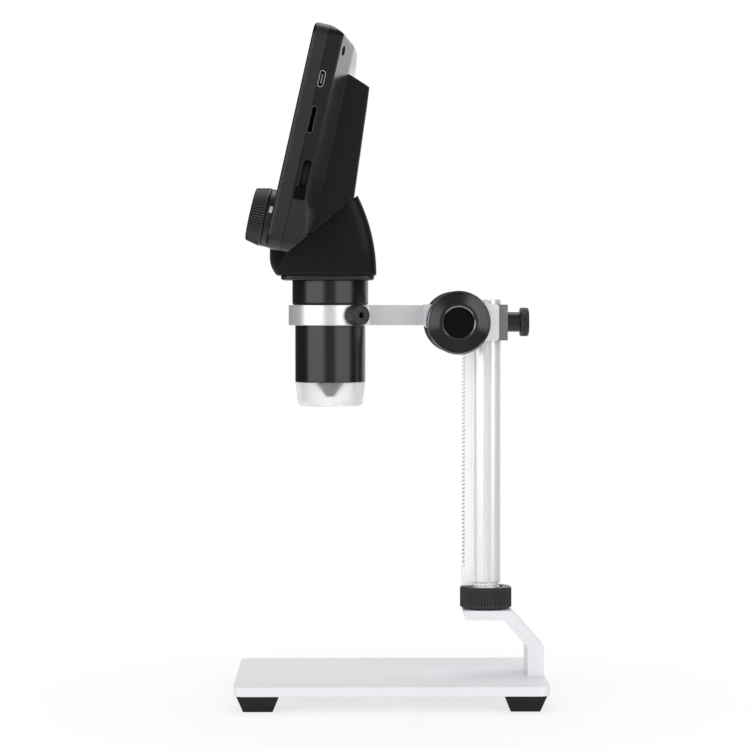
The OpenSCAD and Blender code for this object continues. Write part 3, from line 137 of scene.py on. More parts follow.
class Wire:
    """A value in a node tree. Arithmetic on it adds Math nodes."""

    def __init__(self, tree, socket):
        self.tree, self.socket = tree, socket

    def maths(self, operation, first, second):
        return self.tree.add("ShaderNodeMath", {"operation": operation}, {0: first, 1: second})

    def output(self, name):
        """Another output of the same node."""
        return Wire(self.tree, self.socket.node.outputs[name])

    def __add__(self, other):
        return self.maths("ADD", self, other)

    def __sub__(self, other):
        return self.maths("SUBTRACT", self, other)

    def __rsub__(self, other):
        return self.maths("SUBTRACT", other, self)

    def __mul__(self, other):
        return self.maths("MULTIPLY", self, other)

    def __pow__(self, other):
        return self.maths("POWER", self, other)

    def __gt__(self, other):
        return self.maths("GREATER_THAN", self, other)

    def __lt__(self, other):
        return self.maths("LESS_THAN", self, other)

    __radd__, __rmul__ = __add__, __mul__


class Tree:
    """A node tree in the making: every node in it comes from add."""

    def __init__(self, tree):
        self.tree = tree

    def add(self, kind, settings=None, inputs=None, output=0):
        """A node of a kind: its settings first, then its sockets' values or links."""
        node = self.tree.nodes.new(kind)
        for key, value in (settings or {}).items():
            setattr(node, key, value)
        for key, value in (inputs or {}).items():
            self.join(value, node.inputs[key])
        return Wire(self, node.outputs[output])

    def join(self, value, socket):
        if isinstance(value, Wire):
            self.tree.links.new(value.socket, socket)
        else:
            socket.default_value = value

    def ramp(self, value, start, end, low=0.0, high=1.0):
        """A smooth step from low to high as the value goes from start to end."""
        return self.add("ShaderNodeMapRange", {"interpolation_type": "SMOOTHSTEP"}, {
            "Value": value, "From Min": start, "From Max": end, "To Min": low, "To Max": high})

    def axes(self, vector):
        x = self.add("ShaderNodeSeparateXYZ", None, {0: vector})
        return x, x.output("Y"), x.output("Z")


class Finish(Tree):
    """A material in the making: its shader and what varies over the surface."""

    made = {}

    def __init__(self, name, colour, **constants):
        self.material = bpy.data.materials.new(name)
        self.material.use_nodes = True
        super().__init__(self.material.node_tree)
        self.shader = self.tree.nodes["Principled BSDF"]
        self.colour = tuple(colour)
        self.material.diffuse_color = (*colour, 1)
        self.shader.inputs["Base Color"].default_value = (*colour, 1)
        for socket, value in constants.items():
            self.shader.inputs[socket.replace("_", " ")].default_value = value
        Finish.made[name] = self.material

    def feed(self, socket, wire):
        self.join(wire, self.shader.inputs[socket])
        return self

    def where(self, scale=(1, 1, 1), move=(0, 0, 0), turn=(0, 0, 0)):
        """Object coordinates, turned, scaled and moved."""
        place = self.add("ShaderNodeTexCoord", output="Object")
        if (scale, move, turn) == ((1, 1, 1), (0, 0, 0), (0, 0, 0)):
            return place
        return self.add("ShaderNodeMapping", {"vector_type": "POINT"},
                        {"Vector": place, "Location": move, "Rotation": turn, "Scale": scale})

    def in_head(self):
        """Object coordinates in the head's own frame: across, into it, up it."""
        c, s = math.cos(TILT), math.sin(TILT)
        y, z = HEAD_Y * MM, HEAD_Z * MM
        return self.where((1, 1, 1), (0, -y * c + z * s, -y * s - z * c), (TILT, 0, 0))

    def noise(self, vector, scale, detail=3.0, roughness=0.5):
        return self.add("ShaderNodeTexNoise", None, {
            "Vector": vector, "Scale": scale, "Detail": detail, "Roughness": roughness})

    def mix(self, amount, first, second):
        """A colour between two, by an amount."""
        first, second = (v if isinstance(v, Wire) else (*v, 1) for v in (first, second))
        ends = {0: amount, 6: first, 7: second}
        return self.add("ShaderNodeMix", {"data_type": "RGBA"}, ends, 2)

    def bump(self, height, strength, distance):
        return self.add("ShaderNodeBump", None, {
            "Strength": strength, "Distance": distance, "Height": height})

    def tint(self, amount, wire):
        """Base colour that drifts a little around its own value."""
        low = tuple(c * (1 - amount) for c in self.colour)
        high = tuple(min(1.0, c * (1 + amount)) for c in self.colour)
        return self.feed("Base Color", self.mix(wire, low, high))


def blasted_alloy(name, colour, rough, metallic, grain=1.0, depth=0.00006):
    """Bead-blasted and clear anodised alloy: fine pits, a faint cloudiness in tone
    and a soft sheen that follows it."""
    f = Finish(name, colour, Metallic=metallic, Roughness=rough)
    place = f.where()
    cloud = f.noise(place, 38, 3)
    pits = f.noise(place, 3600 * grain, 2, 0.6)
    f.tint(0.05, cloud * 0.6 + f.noise(place, 1400 * grain, 2, 0.7) * 0.4)
    f.feed("Roughness", rough - 0.05 + 0.10 * f.noise(place, 150, 2))
    return f.feed("Normal", f.bump(pits, 0.35, depth)).material


def moulded_plastic(name, colour, rough, grain=2600, depth=0.00004, shine=0.5):
    """Moulded plastic: a fine spark-eroded grain under a soft sheen."""
    f = Finish(name, colour, Roughness=rough, Specular_IOR_Level=shine)
    place = f.where()
    spots = f.add("ShaderNodeTexVoronoi", {"feature": "F1"}, {"Vector": place, "Scale": grain})
    f.tint(0.25, f.noise(place, 60, 2))
    f.feed("Roughness", rough - 0.04 + 0.08 * f.noise(place, 220, 3))
    fine = f.noise(place, grain * 0.8, 2)
    return f.feed("Normal", f.bump(spots * 0.6 + fine * 0.4, 0.35, depth)).material


def two_tone_shell(name, colour, strip, rough):
    """The back shell's plastic: satin, with a duller and darker grain on the strip
    that holds the sockets and a smoother skin behind the side's edge."""
    f = Finish(name, colour, Roughness=rough, Specular_IOR_Level=0.4, Coat_Roughness=0.2)
    place = f.where()
    x, w, u = f.axes(f.in_head())
    across = f.add("ShaderNodeMath", {"operation": "ABSOLUTE"}, {0: x})
    # In metres: the side and its strip, the flare below it, the upper bevel's edge
    # and the outline of the battery case.
    side, strip_deep, strip_low = 0.0612, 0.0139, 0.0251
    flare_half, flare_deep = 0.045, 0.0203
    bevel_slope, bevel_edge = 0.4545, 0.1107
    case_half, case_top = 0.0411, 0.0888
    flat = across > side
    on = (x > side + 0.0001) * (w < strip_deep) * (u > strip_low)
    low = (across > flare_half) * (u < strip_low) * (w + u * FLARE_SLOPE < flare_deep)
    top = f.ramp(u + w * bevel_slope, bevel_edge, bevel_edge + 0.0003)
    bare = across.maths("MAXIMUM", across > case_half, u > case_top) * (1.0 - flat)
    behind = f.ramp(w, 0.0138, 0.0146) * (1.0 - top) * bare * f.ramp(u, 0.026, 0.040) * 0.9
    tone = f.noise(place, 60, 2)
    wide = f.mix(tone, tuple(c * 0.75 for c in colour), tuple(c * 1.25 for c in colour))
    f.feed("Base Color", f.mix(on, f.mix(low, wide, tuple(c * 2.6 for c in colour)), strip))
    grain = 0.08 * f.noise(place, 220, 3)
    f.feed("Roughness", rough - 0.04 + grain + on * 0.22 + top * 0.3 + low * 0.1)
    f.feed("Coat Weight", behind)
    spots = f.add("ShaderNodeTexVoronoi", {"feature": "F1"}, {"Vector": place, "Scale": 2600.0})
    fine = f.noise(place, 2100, 2)
    return f.feed("Normal", f.bump(spots * 0.6 + fine * 0.4, 0.35, 0.00004)).material


def gloss_coat(name, colour, rough=0.24):
    """Glossy black coat: mirror smooth, with a trace of orange peel."""
    f = Finish(name, colour, Roughness=rough + 0.1, Specular_IOR_Level=0.0, Coat_Weight=1.0,
               Coat_Roughness=rough, Coat_IOR=1.62)
    place = f.where()
    f.tint(0.2, f.noise(place, 40, 2))
    f.feed("Roughness", rough + 0.08 + 0.05 * f.noise(place, 90, 2))
    return f.feed("Normal", f.bump(f.noise(place, 420, 1), 0.10, 0.00003)).material


def anodised(name, colour, rough=0.3, metallic=0.3, shine=0.5):
    """Black anodised metal: a fine dusting of grain and an uneven sheen."""
    f = Finish(name, colour, Roughness=rough, Metallic=metallic, Specular_IOR_Level=shine)
    place = f.where()
    f.tint(0.3, f.noise(place, 80, 2))
    f.feed("Roughness", rough - 0.06 + 0.12 * f.noise(place, 300, 3))
    return f.feed("Normal", f.bump(f.noise(place, 2400, 2), 0.3, 0.00004)).material


def drawn_metal(name, colour, rough, along, strength=0.25, metallic=0.9):
    """Metal with fine lines along one axis, as drawn or ground."""
    f = Finish(name, colour, Roughness=rough, Metallic=metallic)
    scale = tuple(3 if k == along else 2600 for k in range(3))
    lines = f.noise(f.where(scale), 1, 2)
    f.tint(0.06, f.noise(f.where(), 45, 2) * 0.5 + lines * 0.5)
    f.feed("Roughness", rough - 0.05 + 0.12 * lines)
    return f.feed("Normal", f.bump(lines, strength, 0.00004)).material


def toothed_metal(name, colour, rough, pitch, root, start):
    """Ground metal with painted shade between a rack's teeth, where their flanks lie in
    shadow: it lies where the height is away from each tooth's middle, in front of
    the teeth's root and above the place where they start."""
    f = Finish(name, colour, Roughness=rough, Metallic=0.1)
    lines = f.noise(f.where((3, 2600, 2600)), 1, 2)
    _, y, z = f.axes(f.where())
    off = f.add("ShaderNodeMath", {"operation": "PINGPONG"}, {0: z - PINION_Z * MM, 1: pitch / 2})
    # Painted shade: the shadowed flanks of the teeth are drawn half way to a dark grey.
    painted_flank_shade = (off < pitch / 2 - 0.00028) * (y < root) * (z > start)
    low = tuple(c * 0.94 for c in colour)
    f.feed("Base Color", f.mix(painted_flank_shade * 0.5, f.mix(lines, low, colour), (0.12, 0.12, 0.12)))
    f.feed("Roughness", rough - 0.05 + 0.12 * lines)
    return f.feed("Normal", f.bump(lines, 0.25, 0.00004)).material


def turned_metal(name, colour, rough, centre, plane, pitch, strength, metallic=0.9, tone=0.1):
    """Metal with fine rings about an axis: the rings follow the distance from it."""
    f = Finish(name, colour, Roughness=rough, Metallic=metallic)
    axes = f.axes(f.where())
    a = axes[plane[0]] - centre[0]
    b = axes[plane[1]] - centre[1]
    far = (a * a + b * b) ** 0.5
    ring = lambda scale, detail: f.add("ShaderNodeTexNoise", {"noise_dimensions": "1D"},
                                       {"W": far, "Scale": scale, "Detail": detail})
    rings = ring(pitch, 2.0)
    f.tint(tone, ring(900.0, 1.0))
    f.feed("Roughness", rough - 0.04 + 0.10 * rings)
    return f.feed("Normal", f.bump(rings, strength, 0.00003)).material


def rubber(name, colour):
    """Matt rubber with a dusty, faintly mottled skin."""
    f = Finish(name, colour, Roughness=0.7, Specular_IOR_Level=0.3)
    place = f.where()
    f.tint(0.4, f.noise(place, 160, 4))
    f.feed("Roughness", 0.62 + 0.2 * f.noise(place, 90, 3))
    return f.feed("Normal", f.bump(f.noise(place, 1900, 3), 0.5, 0.00008)).material


def frosted_clear(name):
    """Clear moulded shade with a faint frost and flow lines round it."""
    f = Finish(name, (0.985, 0.975, 1.0), Roughness=0.3, IOR=1.25, Transmission_Weight=0.7,
               Alpha=0.4)
    place = f.where()
    f.feed("Roughness", 0.24 + 0.16 * f.noise(place, 120, 3))
    flow = f.noise(f.where((60, 60, 900)), 1, 2)
    return f.feed("Normal", f.bump(flow, 0.12, 0.0001)).material


def window_glass(name):
    """Dark tinted window over the display."""
    f = Finish(name, (0.02, 0.021, 0.024), Roughness=0.2, IOR=1.5, Coat_Weight=0.4,
               Coat_Roughness=0.22)
    f.tint(0.2, f.noise(f.where(), 25, 1))
    return f.feed("Roughness", 0.2 + 0.05 * f.noise(f.where(), 70, 2)).material


def display_face(name):
    """A display that is off: a fine dot grid under a dark face."""
    f = Finish(name, (0.02, 0.022, 0.026), Roughness=0.2)
    dots = f.add("ShaderNodeTexBrick", {"offset": 0.0}, {
        "Vector": f.where(turn=(TILT - TURN / 4, 0, 0)), "Color1": (0.018, 0.020, 0.024, 1),
        "Color2": (0.024, 0.026, 0.030, 1), "Mortar": (0.008, 0.008, 0.010, 1), "Scale": 1600.0})
    return f.feed("Base Color", dots).material


def circuit_board(name, colour):
    """Green solder mask over copper tracks, with tinned pads."""
    f = Finish(name, colour, Roughness=0.35)
    place = f.where(turn=(TILT - TURN / 4, 0, 0))
    tracks = f.add("ShaderNodeTexBrick", {"offset": 0.35, "squash": 1.6}, {
        "Vector": place, "Scale": 210.0, "Mortar Size": 0.035, "Color1": (*colour, 1),
        "Color2": (colour[0] * 0.8, colour[1] * 0.85, colour[2] * 0.8, 1),
        "Mortar": (colour[0] * 1.9, colour[1] * 1.5, colour[2] * 1.6, 1)})
    pads = f.add("ShaderNodeTexVoronoi", {"feature": "F1"}, {"Vector": place, "Scale": 260.0})
    on = pads < 0.16
    f.feed("Base Color", f.mix(on, tracks, (0.78, 0.78, 0.74)))
    f.feed("Metallic", on * 0.9)
    return f.feed("Normal", f.bump(pads, 0.2, 0.0001)).material


def wrapped_cell(name, colour):
    """Shrink film over a flat cell: soft creases under a thin gloss."""
    f = Finish(name, colour, Roughness=0.3, Coat_Weight=0.3)
    creases = f.noise(f.where((30, 160, 160)), 1, 4)
    f.tint(0.2, creases)
    return f.feed("Normal", f.bump(creases, 0.3, 0.0004)).material


def pale_resin(name, colour):
    """White board or pale diode resin."""
    f = Finish(name, colour, Roughness=0.4)
    place = f.where()
    f.tint(0.05, f.noise(place, 300, 2))
    return f.feed("Roughness", 0.36 + 0.1 * f.noise(place, 800, 2)).material


def lens_glass(name):
    """Coated lens glass, dark with a faint violet cast."""
    f = Finish(name, (0.02, 0.018, 0.035), Roughness=0.02, Coat_Weight=1.0, IOR=1.6)
    return f.feed("Roughness", 0.02 + 0.02 * f.noise(f.where(), 200, 1)).material


def marking(name, colour):
    """Printed white marking, a little uneven at its edge."""
    f = Finish(name, colour, Roughness=0.5)
    return f.tint(0.06, f.noise(f.where(), 2500, 2)).material


def make_finishes():
    c = colours()
    head, gloss, alloy, black = (tuple(v) for v in (c.head, c.gloss, c.alloy, c.black))
    shade = lambda colour, k: tuple(min(1.0, v * k) for v in colour)
    moulded_plastic("satin_black", shade(head, 1.45), 0.36)
    two_tone_shell("shell_black", shade(head, 0.6), shade(head, 0.3), 0.26)
    moulded_plastic("neck_black", shade(head, 0.45), 0.46, shine=0.25)
    # Dull black of the dimmer; inside the sockets it is painted shade.
    moulded_plastic("strip_black_and_socket_shade", shade(head, 0.5), 0.5, 3200, shine=0.3)
    moulded_plastic("key_black", shade(head, 1.6), 0.45, 3200)
    moulded_plastic("wheel_black", shade(head, 1.6), 0.30, 3000, 0.00003)
    gloss_coat("gloss_black", gloss)
    gloss_coat("panel_black", gloss, 0.04)
    blasted_alloy("blasted_alloy", alloy, 0.42, 0.15)
    # The sliding block gets a lighter copy of the stand's alloy: painted light that makes up for
    # the shade the knobs throw on it.
    blasted_alloy("slide_alloy_painted_light", shade(alloy, 1.12), 0.36, 0.12, 0.8, 0.0001)
    blasted_alloy("arm_alloy", shade(alloy, 0.96), 0.34, 0.45, 1.2)
    turned_metal("ring_alloy", (0.95, 0.945, 0.955), 0.3, (0.0, BARREL_Y * MM), (0, 1), 2600,
                 0.12, 0.66)
    drawn_metal("column_metal", (0.99, 0.99, 0.99), 0.26, 2, strength=0.05, metallic=0.38)
    module, root, start = 0.6, 36.45, 65.6
    toothed_metal("rack_metal", (0.97, 0.97, 0.97), 0.34, module * math.pi * MM, root * MM,
                  start * MM)
    drawn_metal("screw_metal", (0.55, 0.55, 0.56), 0.28, 0)
    pinion = PINION_Y * MM, PINION_Z * MM
    turned_metal("knob_face", (0.056, 0.056, 0.059), 0.16, pinion, (1, 2), 3600, 0.35, 0.85, 0.5)
    turned_metal("cut_edge", (0.26, 0.26, 0.27), 0.22, pinion, (1, 2), 5200, 0.1)
    blasted_alloy("grey_metal", (0.22, 0.22, 0.225), 0.42, 0.3)
    # Black of the knobs' round plugs; on the floor of the side's recess it is painted shade.
    anodised("plug_black_and_recess_shade", shade(black, 0.25), 0.5, 0.0, 0.1)
    anodised("anodised_black", shade(black, 1.2), 0.30)
    anodised("knurl_black", shade(black, 3.0), 0.32)
    rubber("foot_rubber", (0.0145, 0.0145, 0.0155))
    drawn_metal("bush_brass", (0.74, 0.55, 0.25), 0.3, 0)
    drawn_metal("socket_metal", (0.80, 0.80, 0.80), 0.25, 0, metallic=0.5)
    drawn_metal("sheet_metal", (0.66, 0.66, 0.66), 0.35, 0)
    frosted_clear("shade_clear")
    window_glass("window_glass")
    display_face("display_face")
    circuit_board("board_green", (0.02, 0.12, 0.05))
    wrapped_cell("cell_wrap", (0.05, 0.11, 0.24))
    pale_resin("lamp_white", (0.80, 0.80, 0.77))
    lens_glass("lens_glass")
    marking("marking_white", (0.75, 0.75, 0.74))


# ---------------------------------------------------------------- geometry


def head_place(x, u, w):
    """Across, up the screen and into the head, as a place in the stand's frame:
    a turn of the up-depth plane by the tilt, then a shift."""
    c, s = math.cos(TILT), math.sin(TILT)
    return np.stack(np.broadcast_arrays(x, HEAD_Y + u * s + w * c, HEAD_Z + u * c - w * s), -1)


def head_across(u, w, x):
    """A placing function whose height runs across the head."""
    return head_place(x, u, w)


def fillet(z0, z1, r0, r1, steps):
    """Levels (height, inset) of a wall from z0 to z1 with quarter-circle edges:
    inset is r(1 - sin a) and height runs with r cos a."""
    s = 1 if z1 > z0 else -1
    a = np.linspace(0, math.pi / 2, steps + 1)
    low, high = np.array([[z0, 0.0]]), np.array([[z1, 0.0]])
    if r0:
        low = np.stack([z0 + s * r0 * (1 - np.cos(a)), r0 * (1 - np.sin(a))], -1)
    if r1:
        b = a[::-1]
        high = np.stack([z1 - s * r1 * (1 - np.cos(b)), r1 * (1 - np.sin(b))], -1)
    return np.concatenate([low, high])


def round_outline(hx, hy, r, steps, centre=(0.0, 0.0)):
    """Points and outward normals round a rectangle with quarter-circle corners, and
    one point more on the straight at each end of every arc."""
    reach = 0.1
    a = np.linspace(0, math.pi / 2, steps + 1)
    a = np.concatenate([a[:1], a, a[-1:]])[None] + (np.arange(4) * math.pi / 2)[:, None]
    along = np.concatenate([[-reach], np.zeros(steps + 1), [reach]])[None, :, None]
    signs = np.array([[1, 1], [-1, 1], [-1, -1], [1, -1]], float)
    normals = np.stack([np.cos(a), np.sin(a)], -1)
    tangents = np.stack([-np.sin(a), np.cos(a)], -1)
    middles = signs[:, None] * (np.array([hx, hy]) - r)
    points = middles + normals * r + tangents * along + np.asarray(centre)
    return points.reshape(-1, 2), normals.reshape(-1, 2)


def corner_normals(points):
    """Outward normals at the points of a closed outline that runs anticlockwise:
    the mean of its neighbours' direction, turned clockwise."""
    along = np.roll(points, -1, 0) - np.roll(points, 1, 0)
    normals = np.stack([along[:, 1], -along[:, 0]], -1)
    return normals / np.linalg.norm(normals, axis=1, keepdims=True)


def rounded(corners, radii, steps, closed=False):
    """A chain of points whose corners are replaced by arcs: each arc starts and
    ends r tan(half the turn) from its corner."""
    corners = np.asarray(corners, float)
    chain = []
    for i, (corner, r) in enumerate(zip(corners, radii)):
        if r == 0 or (not closed and i in (0, len(corners) - 1)):
            chain.append(corner[None])
            continue
        before = corners[i - 1] - corner
        after = corners[(i + 1) % len(corners)] - corner
        before, after = before / np.linalg.norm(before), after / np.linalg.norm(after)
        turn = math.pi - math.acos(np.clip(before @ after, -1, 1))
        reach = r * math.tan(turn / 2)
        between = before + after
        middle = corner + between / np.linalg.norm(between) * r / math.cos(turn / 2)
        start, end = corner + before * reach - middle, corner + after * reach - middle
        t = np.linspace(0, 1, steps + 1)[:, None]
        arc = start * np.sin((1 - t) * turn) + end * np.sin(t * turn)
        chain.append(middle + arc / math.sin(turn))
    return np.concatenate(chain)


def braced(chain):
    """A chain with points added close to both ends of its longer stretches, so that
    the shading of a flat stays flat up to its rounded edge."""
    reach = 0.1
    chain = np.asarray(chain, float)
    rows = [chain[:1]]
    for a, b in zip(chain[:-1], chain[1:]):
        far = np.linalg.norm(b - a)
        if far > 5 * reach:
            rows.append(a + (b - a) * np.array([[reach / far], [1 - reach / far]]))
        rows.append(b[None])
    return np.concatenate(rows)


class Form:
    """Grids of points in millimetres, gathered into one mesh."""

    def __init__(self):
        self.points, self.faces, self.count = [], [], 0

    def grid(self, p, around=True, over=False):
        """Quads between neighbours of an (m, n, 3) array; around joins the last
        column to the first, over the last row to the first."""
        m, n = p.shape[:2]
        rows, columns = np.arange(m if over else m - 1), np.arange(n if around else n - 1)
        i, j = np.meshgrid(rows, columns, indexing="ij")
        i2, j2 = (i + 1) % m, (j + 1) % n
        quads = np.stack([i * n + j, i * n + j2, i2 * n + j2, i2 * n + j], -1).reshape(-1, 4)
        self.points.append(p.reshape(-1, 3))
        self.faces.append(quads + self.count)
        self.count += m * n
        return self

    def cap(self, ring):
        """A closed ring filled by a fan to its middle."""
        return self.grid(np.stack([ring, np.broadcast_to(ring.mean(0), ring.shape)]))

    def add(self, other):
        """Takes in another form's grids."""
        self.points += other.points
        self.faces += [quads + self.count for quads in other.faces]
        self.count += other.count
        return self

    def stack(self, outline, normals, levels, place=None):
        """A wall carried round an outline: level k lies at its height, with the
        outline moved inwards along its normals by the level's inset."""
        levels = braced(levels)
        flat = outline[None] - normals[None] * levels[:, 1][:, None, None]
        high = np.broadcast_to(levels[:, 0][:, None, None], (*flat.shape[:2], 1))
        p = np.concatenate([flat, high], -1)
        if place is not None:
            p = place(p[..., 0], p[..., 1], p[..., 2])
        return self.grid(p).cap(p[0]).cap(p[-1])

    def lathe(self, profile, turns, place=None, ripple=None, caps=True):
        """A profile of (radius, height) carried round an axis: x = r cos a,
        y = r sin a. Ripple gives the change of radius at an angle and a height."""
        profile = braced(profile)
        a = np.arange(turns) * TURN / turns
        r = np.broadcast_to(profile[:, 0][:, None], (len(profile), turns))
        z = np.broadcast_to(profile[:, 1][:, None], r.shape)
        if ripple is not None:
            r = r + ripple(np.broadcast_to(a, r.shape), r, z)
        p = np.stack([r * np.cos(a), r * np.sin(a), z], -1)
        if place is not None:
            p = place(p[..., 0], p[..., 1], p[..., 2])
        self.grid(p)
        for end in (0, -1):
            if caps and profile[end, 0] > 0:
                self.cap(p[end])
        return self

    def hoop(self, profile, turns, place, ripple=None):
        """A closed profile carried round an axis: its last point joins its first."""
        closed = np.concatenate([profile, profile[:1]])
        return self.lathe(closed, turns, place, ripple, False)

    def mesh(self, name):
        mesh = bpy.data.meshes.new(name)
        mesh.from_pydata(np.concatenate(self.points) * MM, [], np.concatenate(self.faces).tolist())
        weld(mesh)
        return mesh

    def make(self, name, material, body, replaced=(), slot=None, angle=32):
        """The gathered grids as a piece that rides on a body."""
        obj = bpy.data.objects.new(name, self.mesh(name))
        return show(obj, material, body, replaced, angle)


def weld(mesh):
    """Merges a mesh's doubles, drops what has no area and turns faces outwards."""
    b = bmesh.new()
    b.from_mesh(mesh)
    bmesh.ops.remove_doubles(b, verts=b.verts, dist=2e-6)
    bmesh.ops.dissolve_degenerate(b, edges=b.edges, dist=1e-6)
    bmesh.ops.recalc_face_normals(b, faces=b.faces)
    b.to_mesh(mesh)
    b.free()


def smooth(mesh, angle):
    """Shades a mesh smooth up to an angle between its faces, in degrees."""
    mesh.polygons.foreach_set("use_smooth", np.ones(len(mesh.polygons), bool))
    mesh.set_sharp_from_angle(angle=math.radians(angle))


def show(obj, material, body, replaced, angle):
    """Links a piece, gives it its finish and has it ride on its body."""
    bpy.context.scene.collection.objects.link(obj)
    obj.data.materials.clear()
    obj.data.materials.append(Finish.made[material])
    smooth(obj.data, angle)
    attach(obj, body)
    if replaced:
        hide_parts(*replaced)
    return obj


def carve(obj, *cutters, angle=32):
    """Cuts closed forms out of a piece, with the result applied."""
    for cutter in cutters:
        tool = bpy.data.objects.new("tool", cutter.mesh("tool"))
        bpy.context.scene.collection.objects.link(tool)
        cut = obj.modifiers.new("cut", "BOOLEAN")
        cut.operation, cut.solver, cut.object = "DIFFERENCE", "EXACT", tool
        bpy.context.view_layer.update()
        whole = obj.evaluated_get(bpy.context.evaluated_depsgraph_get())
        mesh = bpy.data.meshes.new_from_object(whole)
        obj.modifiers.remove(cut)
        old, obj.data = obj.data, mesh
        mesh.name = obj.name
        bpy.data.meshes.remove(old)
        bpy.data.objects.remove(tool)
    smooth(obj.data, angle)


def softened(name, nodes, material, body, width, segments=2, angle=28):
    """A welded copy of CAD nodes whose edges are rounded by a Bevel modifier."""
    b = bmesh.new()
    for node in nodes:
        b.from_mesh(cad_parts[node].data)
    bmesh.ops.remove_doubles(b, verts=b.verts, dist=1e-6)
    bmesh.ops.dissolve_limit(b, angle_limit=math.radians(1.0), verts=b.verts, edges=b.edges)
    bmesh.ops.recalc_face_normals(b, faces=b.faces)
    mesh = bpy.data.meshes.new(name)
    b.to_mesh(mesh)
    b.free()
    obj = show(bpy.data.objects.new(name, mesh), material, body, nodes, angle)
    bevel = obj.modifiers.new("edges", "BEVEL")
    bevel.width, bevel.segments, bevel.limit_method = width, segments, "ANGLE"
    bevel.angle_limit, bevel.harden_normals = math.radians(angle), True
    bevel.use_clamp_overlap = True
    return obj


def dress(material, *nodes):
    """Gives CAD nodes that stay their finish."""
    for node in nodes:
        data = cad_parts[node].data
        data.materials.clear()
        data.materials.append(Finish.made[material])


def on_axis(origin, axis, start=(0, 0, 1)):
    """A placing function whose height runs along an axis from an origin."""
    axis = np.asarray(axis, float) / np.linalg.norm(axis)
    start = np.asarray(start, float) - axis * np.dot(axis, start)
    start = start / np.linalg.norm(start)
    side = np.cross(axis, start)
    origin = np.asarray(origin, float)
    return lambda x, y, z: origin + x[..., None] * start + y[..., None] * side + z[..., None] * axis


def at(x, y):
    """A placing function for an upright axis."""
    return lambda a, b, c: np.stack([a + x, b + y, c], -1)


def head_out(x, u):
    """A placing function whose height runs out of the screen, from a place on it."""
    return lambda a, b, c: head_place(a + x, b + u, -c)


def brick(low, high, place, r=0.0, edge=0.0):
    """A closed block between two corners, with round upright edges."""
    low, high = np.asarray(low, float), np.asarray(high, float)
    mid, half = (low + high) / 2, (high - low) / 2
    outline, normals = round_outline(half[0], half[1], max(r, 1e-4), 4 if r else 1, mid[:2])
    return Form().stack(outline, normals, fillet(low[2], high[2], edge, edge, 3), place)


def knurl(count, depth, start, end, soft=0.5):
    """Ridges round an axis: depth times a rectified cosine, between two heights
    and fading out at both."""
    def change(a, r, z):
        fade = np.clip((z - start) / soft, 0, 1) * np.clip((end - z) / soft, 0, 1)
        return -depth * np.abs(np.sin(a * count / 2)) ** 0.8 * fade
    return change


def socket_screw(form, place, r, height, key, depth, edge=0.25):
    """A round head with a hexagon socket: circles outside, and a six-sided ring
    of radius k / cos(a - nearest sixth) inside."""
    turns, bevel = 48, 0.12
    a = np.arange(turns) * TURN / turns
    six = key / np.cos((a + TURN / 12) % (TURN / 6) - TURN / 12)
    ring = np.stack([np.cos(a), np.sin(a)], -1)
    rows = [(np.full(turns, r - inset), z) for z, inset in fillet(0.0, height, 0, edge, 3)]
    rows += [(six + bevel, height), (six, height - bevel), (six, height - depth)]
    p = np.stack([np.concatenate([ring * rr[:, None], np.full((turns, 1), z)], -1)
                  for rr, z in rows])
    p = place(p[..., 0], p[..., 1], p[..., 2])
    form.grid(p).cap(p[0]).cap(p[-1])


# ---------------------------------------------------------------- the stand


def make_base():
    edge = sizes().edge
    softened("plate", ["base_plate"], "blasted_alloy", "base", edge, 3)
    for side in ("front_left", "front_right", "rear_left", "rear_right"):
        softened("pad_" + side, ["foot_" + side], "foot_rubber", "base", 0.0005, 3)
    softened("bracket", ["column_bracket"], "blasted_alloy", "base", edge, 3)
    screws = Form()
    for x in (-1, 1):
        for y in (-1, 1):
            at_foot = on_axis((x * 38.45, y * 63.45, 3.95), (0, 0, -1), (1, 0, 0))
            socket_screw(screws, at_foot, 2.8, 1.8, 1.3, 1.1)
        at_plate = on_axis((x * 7.5, 70.7, 10.3), (0, 0, -1), (1, 0, 0))
        socket_screw(screws, at_plate, 3.5, 2.4, 1.5, 1.4)
    screws.make("base_screws", "screw_metal", "base", ("foot_screws", "bracket_screws"),
                "screw_steel")


def column_outline():
    """The column's section: a circle with a guide groove on each side and a flat
    seat for the rack at the front."""
    r, back, depth, y0, y1 = 7.4, 5.5, 0.9, 0.3, 2.3
    half_seat = 3.01
    a0, a1 = math.asin(y0 / r), math.asin(y1 / r)
    seat = math.asin(half_seat / r)
    right = np.linspace(-math.pi / 2 + seat, a0, 22)
    rear = np.linspace(a1, math.pi - a1, 40)
    left = np.linspace(math.pi - a0, 1.5 * math.pi - seat, 22)
    arc = lambda a: np.stack([r * np.cos(a), r * np.sin(a)], -1)
    inner = r - depth
    return np.concatenate([
        [[half_seat, -back]], arc(right), [[inner, y0], [inner, y1]], arc(rear),
        [[-inner, y1], [-inner, y0]], arc(left), [[-half_seat, -back]]])


def make_column():
    outline = column_outline()
    normals = outline / np.linalg.norm(outline, axis=1, keepdims=True)
    levels = [(57.3, 0.0), (195.1, 0.0), (195.45, 0.15), (195.6, 0.45)]
    form = Form().stack(outline, normals, levels, at(0, COLUMN_Y))
    # Thread: radius follows the height in pitches less the angle in turns.
    pitch, crest, depth = 1.25, 6.9, 0.62
    z = np.arange(39.6, 57.4, pitch / 10)
    thread = lambda a, r, zz: -depth * np.abs(2 * ((zz / pitch - a / TURN) % 1) - 1)
    form.lathe(np.stack([np.full(len(z), crest), z], -1), 72, at(0, COLUMN_Y), thread)
    form.make("column_rod", "column_metal", "base", ("column",), "column_steel", 40)
    dress("rack_metal", "rack_bar")
    screws = Form()
    for height in (60.05, 192.0):
        socket_screw(screws, on_axis((0, 37.8, height), (0, -1, 0)), 2.0, 1.4, 0.8, 0.8, 0.2)
    screws.make("rack_fixings", "screw_metal", "base", ("rack_screws",), "screw_steel")


